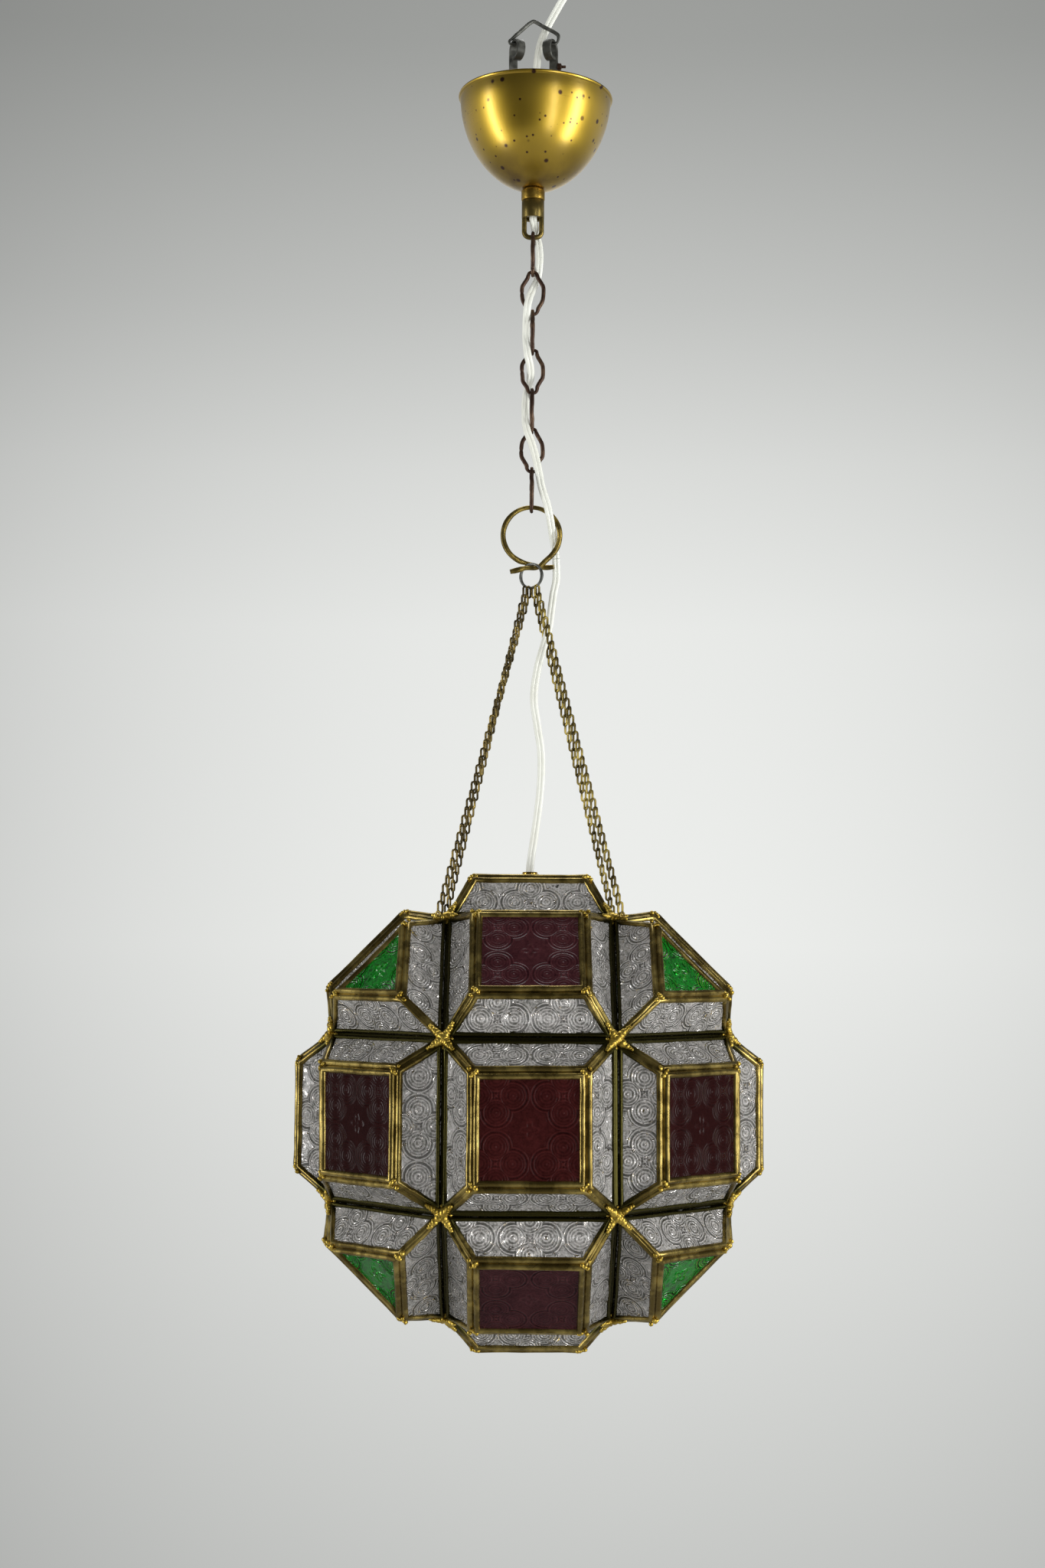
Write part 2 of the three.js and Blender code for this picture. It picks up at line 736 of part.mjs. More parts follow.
// One chain link in the XZ plane, hanging from its top
function chainLink() {
  const half = linkSpan / 2;
  const wide = (linkWidth - linkWire) / 2;
  const neck = (linkNeck - linkWire) / 2;
  const quarter = [
    [0.7 * neck, half - 0.9], [neck, half - 3.2],
    [0.8 * wide, 0.5 * half], [wide, 0.24 * half],
  ];
  const turnTo = (x, z) => quarter.map(([u, v]) => new THREE.Vector3(x * u, 0, z * v - half));
  const outline = [
    new THREE.Vector3(0, 0, 0), ...turnTo(1, 1), ...turnTo(1, -1).reverse(),
    new THREE.Vector3(0, 0, -linkSpan), ...turnTo(-1, -1), ...turnTo(-1, 1).reverse(),
  ];
  return closedWire(new THREE.CatmullRomCurve3(outline, true), linkWire, 24);
}

// Ring: a wire bent round, whose ends cross at the bottom and stick out as tails
function chainRing() {
  const lower = -crossingDrop;
  const front = points3([
    [-14.2, 0, lower - 2.6], [-9, 0, lower - 1.4], [-4.6, 0, lower - 0.2], [-1.8, 0, lower],
    [2.6, 0, lower], [5.8, 0, lower + 1.2], [9.4, 0, lower + 4.8],
  ]);
  const round = [];
  const arcSteps = 12;
  for (let i = 0; i <= arcSteps; i++) {
    const angle = THREE.MathUtils.degToRad(-42 + (i / arcSteps) * 264);
    round.push(new THREE.Vector3(Math.cos(angle) * ringRadius, 0, Math.sin(angle) * ringRadius));
  }
  const behind = points3([
    [-8.4, 0.45 * strandSpread, lower + 5.2], [-3.6, strandSpread, lower + 3.9],
    [1.5, strandSpread, lower + 2.7], [6, strandSpread, lower + 1.5],
    [10.5, 0.8 * strandSpread, lower + 0.9], [15, 0.4 * strandSpread, lower + 1.1],
  ]);
  return rod(new THREE.CatmullRomCurve3([...front, ...round, ...behind]), ringWire, 56);
}

function smallRing() {
  return new THREE.TorusGeometry(smallRingRadius, smallRingWire / 2, wireSides, 24)
    .rotateX(Math.PI / 2)
    .rotateZ(smallRingTurn);
}

// An oval link of fine wire that hangs from top along a direction, wide across it
function fineLink(top, along, across, span, width) {
  const radius = (width - fineWire) / 2;
  const outline = [
    [0, 0], [0.7, 0.3], [1, 1], [1, span / radius - 1], [0.7, span / radius - 0.3],
    [0, span / radius], [-0.7, span / radius - 0.3], [-1, span / radius - 1], [-1, 1], [-0.7, 0.3],
  ].map(([u, v]) => top.clone().addScaledVector(across, u * radius).addScaledVector(along, v * radius));
  return closedWire(new THREE.CatmullRomCurve3(outline, true), fineWire, 10, 5);
}

// A fine chain as one solid: an open link at each end, and between them a bar that is
// wide one way and then the other, a link at a time
function fineChain(hang, eye, startWide, endWide) {
  const along = eye.clone().sub(hang).normalize();
  const squared = (wide) => wide.clone().projectOnPlane(along).normalize();
  const start = squared(startWide);
  const top = hang.clone().addScaledVector(along, -(smallRingWire + fineWire) / 2 - gap);
  const bottom = eye.clone().addScaledVector(along, (eyeWire + fineWire) / 2 + gap);
  const span = finePitch + fineWire;
  const steps = Math.round((top.distanceTo(bottom) - span) / finePitch);
  const pitch = (top.distanceTo(bottom) - span) / steps;
  const lastWide = start.clone().applyAxisAngle(along, (steps * Math.PI) / 2);
  const target = squared(endWide);
  if (target.dot(lastWide) < 0) target.negate();
  const twist = Math.atan2(lastWide.clone().cross(target).dot(along), lastWide.dot(target));
  const sideAt = (i) => start.clone().applyAxisAngle(along, (twist * i) / steps);
  const surface = new Surface();
  const section = (i, distance, reach, depth) => {
    const side = sideAt(i);
    const face = new THREE.Vector3().crossVectors(along, side);
    const centre = top.clone().addScaledVector(along, distance);
    return [[-1, -1], [1, -1], [1, 1], [-1, 1]].map(([u, v]) => centre.clone()
      .addScaledVector(side, (u * reach) / 2)
      .addScaledVector(face, (v * depth) / 2));
  };
  const sections = [section(0, span, fineWire, fineWire)];
  for (let i = 1; i < steps; i++) {
    const [reach, depth] = i % 2 ? [fineWire, fineWidth] : [fineWidth, fineWire];
    sections.push(section(i, i * pitch + span / 2, reach, depth));
  }
  sections.push(section(steps, steps * pitch, fineWire, fineWire));
  sections.slice(1).forEach((next, i) => surface.band(sections[i], next));
  surface.polygon(...[...sections[0]].reverse());
  surface.polygon(...sections.at(-1));
  const firstWidth = smallRingWire + 2 * gap + 2 * fineWire;
  return join(
    surface.geometry(),
    fineLink(top, along, start, span, firstWidth),
    fineLink(top.clone().addScaledVector(along, steps * pitch), along, target, span, fineWidth),
  );
}

// Where each fine chain hangs along the small ring, from its left end to its right
const fineChains = [
  { name: 'back_left', x: -1, y: 1, place: -1.5 },
  { name: 'front_left', x: -1, y: -1, place: -0.5 },
  { name: 'back_right', x: 1, y: 1, place: 0.5 },
  { name: 'front_right', x: 1, y: -1, place: 1.5 },
];

function fineChainTo({ x, y, place }) {
  const ringWay = new THREE.Vector3(Math.cos(smallRingTurn), Math.sin(smallRingTurn), 0);
  const acrossRing = new THREE.Vector3(-ringWay.y, ringWay.x, 0);
  const offset = place * fineSpacing;
  const drop = Math.sqrt(smallRingRadius ** 2 - offset ** 2);
  const hang = new THREE.Vector3(0, 0, smallRingZ - drop).addScaledVector(ringWay, offset);
  const centre = eyeCentre(x, y).setZ(eyeCentre(x, y).z + lanternZ);
  const pull = hang.clone().sub(centre).normalize();
  const eye = centre.clone().addScaledVector(pull, eyeRadius - eyeWire / 2);
  return fineChain(hang, eye, acrossRing, new THREE.Vector3(-y, x, 0));
}

// Cord: one flex from the terminal block to the lampholder, in three lengths. Offsets are
// in steps of beside, which is what brings the cord clear of a chain link's wire.
const beside = (linkWire + cordDiameter) / 2 + gap;

function cordTube(list) {
  const path = new THREE.CatmullRomCurve3(points3(list));
  return rod(path, cordDiameter, Math.ceil(path.getLength() / cordStep), 8);
}

function supplyRoute() {
  const tubeTop = nutZ + nutHeight + tubeAboveNut;
  const up = (share) => tubeTop + share * (pivotZ - tubeTop);
  return [
    [0, 0, shoulderZ - 7], [0, 0, tubeTop + 1], [0.6, 0.6, up(0.22)], [1.4, 1.4, up(0.52)],
    [2.1, 2.8, up(0.81)], [3.4, 4.2, up(0.95)], [5.4, 5, pivotZ + 4.5], [9.4, 5.2, pivotZ + 14.2],
    [13.6, 5.2, pivotZ + 22.2], [18.3, 5, pivotZ + 30.7], [22.2, 5, pivotZ + 37.5],
    [blockX - 1.2, blockY, blockBottomZ - 5.5], [blockX - 0.1, blockY, blockBottomZ - 1],
    [blockX, blockY, blockBottomZ + 3], [blockX, blockY, blockBottomZ + cordEntryDepth - gap],
  ];
}

function chainRoute() {
  const weave = [
    [0.29, 0.43, -0.2], [0.63, 1.43, 0.01], [1.03, 1.71, 0.17], [1.31, 1.43, 0.43],
    [1.31, 1.14, 0.73], [1.14, 1.26, 0.96], [0.74, 1.2, 1.2], [0.06, 0.51, 1.42], [-0.51, -0.46, 1.64],
    [-0.91, -1.2, 1.88], [-1.11, -1.14, 2.11], [-1.2, -0.71, 2.37], [-1.23, -0.43, 2.67],
    [-1.09, -0.74, 2.93], [-0.91, -1.29, 3.15], [-0.46, -0.63, 3.39], [-0.29, 0.34, 3.61],
    [-0.57, 1.11, 3.86], [-1.11, 1.31, 4.08], [-1.26, 0.97, 4.3], [-1.29, 0, 4.6],
    [-1.2, -0.86, 4.9], [-0.86, -1.37, 5.12], [-0.17, -1.49, 5.36], [0.46, -1.37, 5.62],
    [0.97, -1.26, 5.88], [1.4, -1.26, 6.16], [1.89, -1.31, 6.5],
  ].map(([x, y, links]) => [x * beside, y * beside, linkTopZ(links)]);
  const throughRing = [
    [0.54, -1.37, 1.07], [0.61, -1.26, 0.76], [0.67, -0.69, 0.48], [0.72, 0.11, 0.2],
    [0.77, 0.86, -0.08], [0.83, 1.31, -0.42], [0.87, 1.4, -0.78],
  ].map(([x, y, z]) => [x * ringRadius, y * beside, ringCentreZ + z * ringRadius]);
  return [[0, 0, collarZ - 9], [0, 0, tubeEndZ - 2], ...weave, ...throughRing];
}

function lanternRoute() {
  const bushingTop = lanternZ + paneFace + gap + bushingFlangeHeight;
  const start = ringCentreZ - 0.78 * ringRadius - gap;
  const down = (share) => start + share * (bushingTop - start);
  const side = 0.87 * ringRadius;
  return [
    [side, 1.4 * beside, start], [side + 0.3, 1.6 * beside, down(0.033)], [side + 0.2, 5.2, down(0.068)],
    [14.9, 4.2, down(0.115)], [13.7, 3, down(0.16)], [11.8, 2, down(0.226)], [7.8, 1, down(0.293)],
    [4.3, 0.4, down(0.36)], [2.1, 0, down(0.452)], [4.5, 0, down(0.537)], [7.1, 0, down(0.625)],
    [6.7, 0, down(0.738)], [3.4, 0, down(0.87)], [0.9, 0, down(0.952)], [0, 0, bushingTop + 2],
    [0, 0, lanternZ + capTop - 11],
  ];
}

// Terminal block at the ceiling, on the supply end
function terminalBlock() {
  const [width, depth, height] = blockSize;
  const centreZ = blockBottomZ + height / 2;
  const screw = (x) => new THREE.CylinderGeometry(blockScrewDiameter / 2, blockScrewDiameter / 2, 4, 16)
    .translate(blockX + x, blockY - depth / 2 - 1, blockBottomZ + 0.7 * height);
  const body = block(blockSize, [blockX, blockY, centreZ]);
  const entry = cylinderZ(cordDiameter / 2 + gap, blockBottomZ - 1, blockBottomZ + cordEntryDepth)
    .translate(blockX, blockY, 0);
  return cut(join(body, screw(-width / 4), screw(width / 4)), entry);
}

// The assembly
const lamp = new THREE.Group();
lamp.name = 'pendant_lantern';

function add(name, geometry, material, z = 0) {
  const mesh = new THREE.Mesh(geometry, material);
  mesh.name = name;
  mesh.position.z = z;
  lamp.add(mesh);
  return mesh;
}

function addHanger() {
  add('ceiling_bail', bail(), greySteel);
  add('terminal_block', terminalBlock(), whiteCeramic);
  add('hanger_fork', hangerFork(), greySteel);
  add('cup_tube', threadedTube(), agedBrass);
  add('cup_nut', hexNut(), greySteel);
  add('ceiling_cup', ceilingCup(), spunBrass);
  add('cup_collar', collar(), brightBrass);
  add('hang_loop', hangLoop(), darkBronze);
}

function addChain() {
  for (let i = 0; i < linkCount; i++) {
    const link = add(`chain_link_${i + 1}`, chainLink(), darkBronze, linkTopZ(i));
    link.rotation.z = i % 2 ? 0 : Math.PI / 2;
  }
  add('chain_ring', chainRing(), agedBrass, ringCentreZ);
  add('small_ring', smallRing(), greySteel, smallRingZ);
  for (const chain of fineChains) add(`fine_chain_${chain.name}`, fineChainTo(chain), agedBrass);
}

function addCord() {
  add('supply_cord', cordTube(supplyRoute()), whiteVinyl);
  add('chain_cord', cordTube(chainRoute()), whiteVinyl);
  add('lantern_cord', cordTube(lanternRoute()), whiteVinyl);
}

function glassFor(face) {
  if (face.triangular) return greenGlass;
  return face.level && face.name.includes('_') ? purpleGlass : maroonGlass;
}

function addLantern() {
  const faces = lanternFaces();
  const back = faces.find((face) => face.name === 'back');
  const fixed = faces.filter((face) => face !== back);
  add('lantern_cage', lanternCage(fixed), agedBrass, lanternZ);
  add('door_frame', doorFrame(back), agedBrass, lanternZ);
  add('door_hinge_pin', hingePin(), brightBrass, lanternZ);
  for (const face of faces) {
    const geometry = face.name === 'top' ? topPane(face) : colouredPane(face);
    add(`pane_${face.name}`, geometry, glassFor(face), lanternZ);
  }
  for (const [level, region] of [[1, 'upper'], [0, 'middle'], [-1, 'lower']]) {
    const ownFaces = fixed.filter((face) => face.level === level);
    add(`clear_glass_${region}`, clearWork(ownFaces, partedCorner(level)), clearGlass, lanternZ);
  }
  add('clear_glass_door', clearWork([back], doorCorner), clearGlass, lanternZ);
}

function addLampholder() {
  add('cord_bushing', cordBushing(), brightBrass, lanternZ);
  add('lampholder_cap', lampholderCap(), brightBrass, lanternZ);
  add('lampholder_shell', lampholderShell(), blackResin, lanternZ);
}

addHanger();
addChain();
addCord();
addLantern();
addLampholder();

export default lamp;
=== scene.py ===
# %% [markdown]
# A pendant lantern of pressed glass and brass, hung by fine chains, a ring and a link chain
# from a ceiling cup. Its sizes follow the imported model. This lesson starts with the view and
# the finishes, goes on with the cord, the chain, the lantern and the cup, and ends with the
# light.

import math
import random

import bmesh
import bpy
import numpy as np
from mathutils import Matrix, Vector


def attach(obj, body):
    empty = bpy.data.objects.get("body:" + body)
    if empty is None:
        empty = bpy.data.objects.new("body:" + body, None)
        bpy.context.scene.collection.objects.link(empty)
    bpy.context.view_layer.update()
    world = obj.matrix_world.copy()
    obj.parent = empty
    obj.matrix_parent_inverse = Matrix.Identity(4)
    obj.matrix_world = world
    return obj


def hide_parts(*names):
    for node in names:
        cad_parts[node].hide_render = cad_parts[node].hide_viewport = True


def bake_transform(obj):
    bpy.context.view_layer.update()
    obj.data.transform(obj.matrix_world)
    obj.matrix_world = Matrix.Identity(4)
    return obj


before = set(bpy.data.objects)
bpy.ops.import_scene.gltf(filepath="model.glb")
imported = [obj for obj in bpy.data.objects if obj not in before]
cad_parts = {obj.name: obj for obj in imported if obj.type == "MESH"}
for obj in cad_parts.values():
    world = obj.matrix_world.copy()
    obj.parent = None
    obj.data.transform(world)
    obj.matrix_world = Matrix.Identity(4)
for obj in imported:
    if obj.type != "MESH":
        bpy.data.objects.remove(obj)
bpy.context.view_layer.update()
MM = 0.001

# %% [markdown]
# The camera stands in front of the lantern, near its height, and looks slightly up.
# The long side of the picture sets the lens, so the same numbers hold at any render size.

# %% Camera
CAMERA_PLACE = Vector((-0.0052, -1.4793, -0.6272))
CAMERA_PITCH = math.radians(4.14)
CAMERA_ROLL = math.radians(0.28)
FOCAL_SHARE = 2915.3 / 2048   # the focal length, in long sides of the picture
SENSOR = 36.0


def new_object(name, data):
    """An object in the scene that shows the given data."""
    made = bpy.data.objects.new(name, data)
    bpy.context.collection.objects.link(made)
    return made


def make_camera():
    data = bpy.data.cameras.new("camera")
    data.sensor_width = SENSOR
    data.lens = SENSOR * FOCAL_SHARE
    data.clip_end = 60.0
    forward = Vector((0, math.cos(CAMERA_PITCH), math.sin(CAMERA_PITCH)))
    level = Vector((1, 0, 0))
    above = level.cross(forward)
    right = level * math.cos(CAMERA_ROLL) + above * math.sin(CAMERA_ROLL)
    up = above * math.cos(CAMERA_ROLL) - level * math.sin(CAMERA_ROLL)
    turn = Matrix((right, up, -forward)).transposed().to_4x4()
    camera = new_object("camera", data)
    camera.matrix_world = Matrix.Translation(CAMERA_PLACE) @ turn
    bpy.context.scene.camera = camera
    return camera


camera = make_camera()
print("lens", round(camera.data.lens, 2), "mm")

# %% [markdown]
# Materials are written as arithmetic. A Signal is one output of a node, and adding or
# multiplying signals adds the Math nodes. Every other node comes from the add method.


# %% Signals and node builders
class Signal:
    """One output of a node. Arithmetic on it adds Math nodes to its tree."""

    def __init__(self, nodes, socket):
        self.nodes = nodes
        self.socket = socket

    def math(self, operation, *others):
        return self.nodes.math(operation, self, *others)

    def __add__(self, other):
        return self.math("ADD", other)

    def __sub__(self, other):
        return self.math("SUBTRACT", other)

    def __mul__(self, other):
        return self.math("MULTIPLY", other)

    def __truediv__(self, other):
        return self.math("DIVIDE", other)

    def __rsub__(self, other):
        return self.nodes.math("SUBTRACT", other, self)

    def __abs__(self):
        return self.math("ABSOLUTE")

    __rmul__ = __mul__


class Nodes:
    """A node tree under construction."""

    def __init__(self, tree):
        self.tree = tree

    def add(self, kind, settings=None, sockets=None, output=0):
        """Adds a node with its settings and what its sockets get, and returns one output."""
        node = self.tree.nodes.new(kind)
        for key, value in (settings or {}).items():
            if key == "stops":
                set_stops(node.color_ramp, value)
            else:
                setattr(node, key, value)
        for key, value in (sockets or {}).items():
            self.plug(node.inputs[key], value)
        return Signal(self, node.outputs[output])

    def plug(self, socket, value):
        if isinstance(value, Signal):
            self.tree.links.new(value.socket, socket)
        else:
            socket.default_value = value

    def math(self, operation, *values):
        return self.add("ShaderNodeMath", {"operation": operation}, dict(enumerate(values)))


def set_stops(ramp, stops):
    while len(ramp.elements) < len(stops):
        ramp.elements.new(0.5)
    for element, (position, colour) in zip(ramp.elements, stops):
        element.position = position
        element.color = (*colour, 1.0)


print("node builders ready")


# %% [markdown]
# A finish is one material. What is the same all over the surface is set on the shader
# itself. What varies is a signal from noise, from the place on the piece, or from the
# pattern coordinates that the glass carries.


# %% Finish
class Finish(Nodes):
    """A material: a Principled shader and the signals that feed it."""

    def __init__(self, name, constants):
        self.material = bpy.data.materials.new(name)
        self.material.use_nodes = True
        super().__init__(self.material.node_tree)
        self.shader = self.tree.nodes["Principled BSDF"]
        for label, value in constants.items():
            self.shader.inputs[label].default_value = value
        self.place = self.add("ShaderNodeTexCoord", output=3)

    def feed(self, label, signal):
        self.tree.links.new(signal.socket, self.shader.inputs[label])

    def stretched(self, vector, scale):
        return self.add("ShaderNodeMapping", None, {"Vector": vector, "Scale": scale})

    def noise(self, scale, detail=3.0, vector=None):
        return self.add("ShaderNodeTexNoise", None, {
            "Vector": vector or self.place, "Scale": scale, "Detail": detail,
        })

    def between(self, value, low, high, start=0.0, end=1.0):
        return self.add("ShaderNodeMapRange", None, {0: value, 1: low, 2: high, 3: start, 4: end})

    def mix(self, mask, first, second):
        return self.add("ShaderNodeMix", {"data_type": "RGBA"}, {0: mask, 6: first, 7: second}, 2)

    def bump(self, height, distance, strength=1.0, under=None):
        sockets = {"Height": height, "Distance": distance, "Strength": strength}
        if under:
            sockets["Normal"] = under
        return self.add("ShaderNodeBump", None, sockets)

    def split(self, vector):
        node = self.tree.nodes.new("ShaderNodeSeparateXYZ")
        self.plug(node.inputs[0], vector)
        return [Signal(self, output) for output in node.outputs]


def tint(red, green, blue):
    """A colour as it is seen, from 0 to 255, turned into the linear values that nodes use."""
    return tuple((v / 255) ** 2.2 for v in (red, green, blue)) + (1.0,)


print("finish class ready")

# %% [markdown]
# Brass on this lamp comes in several states. The channels are an olive brown with brighter
# patches; in the valleys they are darker, with painted shade and some darker patina. The cup is
# gold under a clear coat, with dark specks, and painted shade darkens its foot. The link chain is
# almost black. The fine chains take a lighter copy of their metal on the right, as painted light,
# and a darker copy on the left, as painted shade.


# %% Metals
LANTERN_MIDDLE = -0.7359            # metres, the height of the lantern's middle
# painted shade in the valleys, with some darker patina: it begins at the first distance and is full at the
# second
VALLEY_DISTANCE = (0.1512, 0.1484)   # metres from the middle: from here on bright, and dark


def aged_metal(name, dark, bright, share, roughness, metallic=1.0, scale=90.0):
    """Metal whose patina comes and goes: share is how much of it has stayed bright."""
    finish = Finish(name, {"Metallic": metallic})
    patches = finish.noise(scale, 3.0)
    grain = finish.noise(scale * 4, 1.0)
    wear = finish.between(patches * 0.9 + grain * 0.1, 0.6 - share, 0.8 - share)
    colour = finish.mix(wear, tint(*dark), tint(*bright))
    if name == "aged_brass":
        # painted shade, with some darker patina: the channels darken to a dark olive in the valleys
        # between the bosses
        colour = finish.mix(valley_patina_and_shade(finish), colour, tint(66, 62, 32))
    finish.feed("Base Color", colour)
    finish.feed("Roughness", grain * 0.1 + (roughness - 0.05))
    finish.feed("Normal", finish.bump(finish.noise(scale * 1.6, 1.0), 0.0002, 0.4))
    return finish.material


def valley_patina_and_shade(finish):
    """1 in the valleys between the bosses, which lie nearer the lantern's middle, where the brass gets
    painted shade and some darker patina.
    """
    from_middle = finish.add("ShaderNodeVectorMath", {"operation": "DISTANCE"}, {
        0: finish.place, 1: (0.0, 0.0, LANTERN_MIDDLE),
    }, 1)
    return finish.between(from_middle, *VALLEY_DISTANCE)


# painted shade: the heights over which the cup's foot is painted darker
CUP_FOOT_SHADE_BAND = (-0.094, -0.115)   # metres: the heights where the cup's foot grows darker


def spun_brass():
    finish = Finish("spun_brass", {
        "Metallic": 1.0, "Anisotropic": 0.6, "Coat Weight": 0.9, "Coat Roughness": 0.26,
    })
    height = finish.split(finish.place)[2]
    rings = finish.noise(9.0, 3.0, finish.stretched(finish.place, (1.0, 1.0, 420.0)))
    haze = finish.noise(26.0, 4.0)
    low = finish.between(height, *CUP_FOOT_SHADE_BAND)
    speck = spots(finish, 110.0, 0.22, 0.5) + spots(finish, 240.0, 0.24, 0.8)
    gold = finish.mix(haze, tint(180, 146, 40), tint(208, 174, 58))
    # painted shade: towards the foot the gold is darkened, more where the haze is high
    shaded = finish.mix(low * finish.between(haze, 0.38, 0.6), gold, tint(96, 70, 30))
    finish.feed("Base Color", finish.mix(speck.math("MINIMUM", 1.0), shaded, tint(72, 40, 12)))
    finish.feed("Roughness", haze * 0.1 + rings * 0.08 + 0.21 + low * 0.1)
    finish.feed("Normal", finish.bump(rings, 0.00003, 0.55))
    return finish.material


def spots(finish, scale, size, rarity):
    """Round specks: the heart of a cell, in the few cells whose own number is high."""
    voronoi = finish.tree.nodes.new("ShaderNodeTexVoronoi")
    finish.plug(voronoi.inputs["Vector"], finish.place)
    voronoi.inputs["Scale"].default_value = scale
    heart = finish.between(Signal(finish, voronoi.outputs["Distance"]), size, size * 0.6)
    own = finish.split(Signal(finish, voronoi.outputs["Color"]))[0]
    return heart * finish.between(own, rarity, rarity + 0.02)


AGED_METALS = {
    # name: dark, bright, share that stayed bright, roughness, metallic, scale of the patches
    "aged_brass": ((112, 96, 52), (184, 162, 94), 0.15, 0.28, 0.95, 60.0),
    "solder": ((146, 120, 44), (212, 182, 84), 0.24, 0.32, 0.9, 60.0),
    "bright_brass": ((168, 126, 44), (222, 180, 84), 0.3, 0.24),
    "ring_brass": ((98, 84, 42), (176, 152, 78), 0.14, 0.32, 0.75),
    # two copies of one chain metal: a lighter one with painted light, and a darker one with painted shade
    "chain_brass": ((84, 72, 36), (176, 156, 82), 0.14, 0.34, 0.8),
    "chain_bronze": ((72, 62, 36), (146, 126, 70), 0.13, 0.35, 0.8),
    "dark_bronze": ((74, 56, 46), (108, 86, 68), 0.1, 0.4, 0.7),
    "loop_brass": ((108, 94, 52), (160, 138, 80), 0.12, 0.36, 0.85),
    "collar_brass": ((138, 110, 46), (190, 158, 74), 0.14, 0.36, 0.9),
    "grey_steel": ((76, 77, 72), (128, 129, 122), 0.12, 0.4, 0.5),
}
METALS = {name: aged_metal(name, *settings) for name, settings in AGED_METALS.items()}
METALS["spun_brass"] = spun_brass()
print(len(METALS), "metals")

# %% [markdown]
# The flex is ivory vinyl, the lampholder dark resin and the terminal block glazed white.
# A faint mottle varies the colour and the gloss of each.


# %% Vinyl, resin and porcelain
def moulded(name, colour, shade, roughness, coat=0.0):
    finish = Finish(name, {"Coat Weight": coat, "IOR": 1.5})
    mottle = finish.noise(60.0, 2.0)
    finish.feed("Base Color", finish.mix(finish.between(mottle, 0.35, 0.75), colour, shade))
    finish.feed("Roughness", mottle * 0.14 + (roughness - 0.07))
    return finish.material


PLAIN = {
    "white_vinyl": moulded("white_vinyl", tint(238, 240, 230), tint(230, 231, 219), 0.24),
    "black_resin": moulded("black_resin", tint(44, 38, 34), tint(30, 26, 24), 0.36),
    "white_ceramic": moulded("white_ceramic", tint(236, 234, 228), tint(224, 222, 214), 0.2, 0.4),
}
print(len(PLAIN), "plain finishes")

# %% [markdown]
# The glass is pressed with a repeating pattern: medallions of four lobes, ringed by close
# circles, with a double line round the whole and a floret in each space that is left. The
# pattern is worked out from pattern coordinates, one unit to a tile. The same rule, on
# numbers, swells the mesh of the pane.

# %% Pattern of the pressed glass
TILE = 40.0          # millimetres from one medallion to the next
LOBE_AT = 0.25       # from here on in tiles: how far a lobe lies from its medallion's middle
LINE_AT = 0.185      # the inner of the two lines round the lobes
LINE_PITCH = 0.056   # from one line to the next
RING_PITCH = 0.05    # from one circle to the next
BAND_MARGIN, BAND_EDGE = 0.03, 50   # how far the lines fade past their band, and how sharply
RINGS_MARGIN, RINGS_EDGE = 0.02, 30
SWELL_EDGE = 8
DOT, PETAL = 0.045, 0.036           # half widths of a dot and of a petal's line
RELIEF = 0.3         # millimetres, on the clear and green glass
FAINT_RELIEF = 0.07  # millimetres, on the maroon and purple glass


class Pressing:
    """Pattern rules on numbers: numpy arrays here, signals in a shader."""

    def __init__(self, root, lowest, highest, wave, fraction):
        self.root = root
        self.lowest = lowest
        self.highest = highest
        self.wave = wave
        self.fraction = fraction

    def fold(self, value):
        """How far a coordinate is from the nearest medallion's middle."""
        return abs(self.fraction(value + 0.5) - 0.5)

    def limited(self, value):
        return self.highest(self.lowest(value, 1.0), 0.0)

    def ridge(self, value, middle, width):
        return self.highest(1 - abs(value - middle) / width, 0.0)

    def lobe(self, a, b):
        beside = self.root((a - LOBE_AT) * (a - LOBE_AT) + b * b)
        above = self.root(a * a + (b - LOBE_AT) * (b - LOBE_AT))
        return self.lowest(beside, above)

    def floret(self, a, b, petal, size):
        radius = self.root(a * a + b * b + 1e-6)
        share = a * a / (radius * radius)
        fourfold = 8 * share * share - 8 * share + 1
        return self.ridge(radius - petal * fourfold, size, PETAL) + self.ridge(radius, 0.0, DOT)

    def lines(self, u, v):
        """Two raised lines round the lobes, a dot in each lobe, and the florets."""
        a, b = self.fold(u), self.fold(v)
        lobe = self.lobe(a, b)
        outer = LINE_AT + LINE_PITCH
        after_inner = self.limited((lobe - LINE_AT + BAND_MARGIN) * BAND_EDGE)
        band = after_inner * self.limited((outer + BAND_MARGIN - lobe) * BAND_EDGE)
        rims = self.wave((lobe - LINE_AT) * (2 * math.pi / LINE_PITCH)) * band
        florets = self.floret(a, b, 0.02, 0.055) + self.floret(0.5 - a, 0.5 - b, 0.035, 0.1)
        return rims + self.ridge(lobe, 0.0, DOT) + florets

    def rings(self, u, v):
        """The close circles inside the lobes."""
        lobe = self.lobe(self.fold(u), self.fold(v))
        inside = self.limited((LINE_AT - RINGS_MARGIN - lobe) * RINGS_EDGE)
        return self.wave(lobe * (2 * math.pi / RING_PITCH)) * inside

    def swell(self, u, v):
        """The broad rise of the lobes."""
        lobe = self.lobe(self.fold(u), self.fold(v))
        return self.limited((LINE_AT + LINE_PITCH - lobe) * SWELL_EDGE)


on_numbers = Pressing(np.sqrt, np.minimum, np.maximum, np.cos, lambda value: value - np.floor(value))
on_signals = Pressing(
    lambda value: value.math("SQRT"),
    lambda value, other: value.math("MINIMUM", other),
    lambda value, other: value.math("MAXIMUM", other),
    lambda value: value.math("COSINE"),
    lambda value: value.math("FRACT"),
)
print("one tile of the pattern is", TILE, "mm")

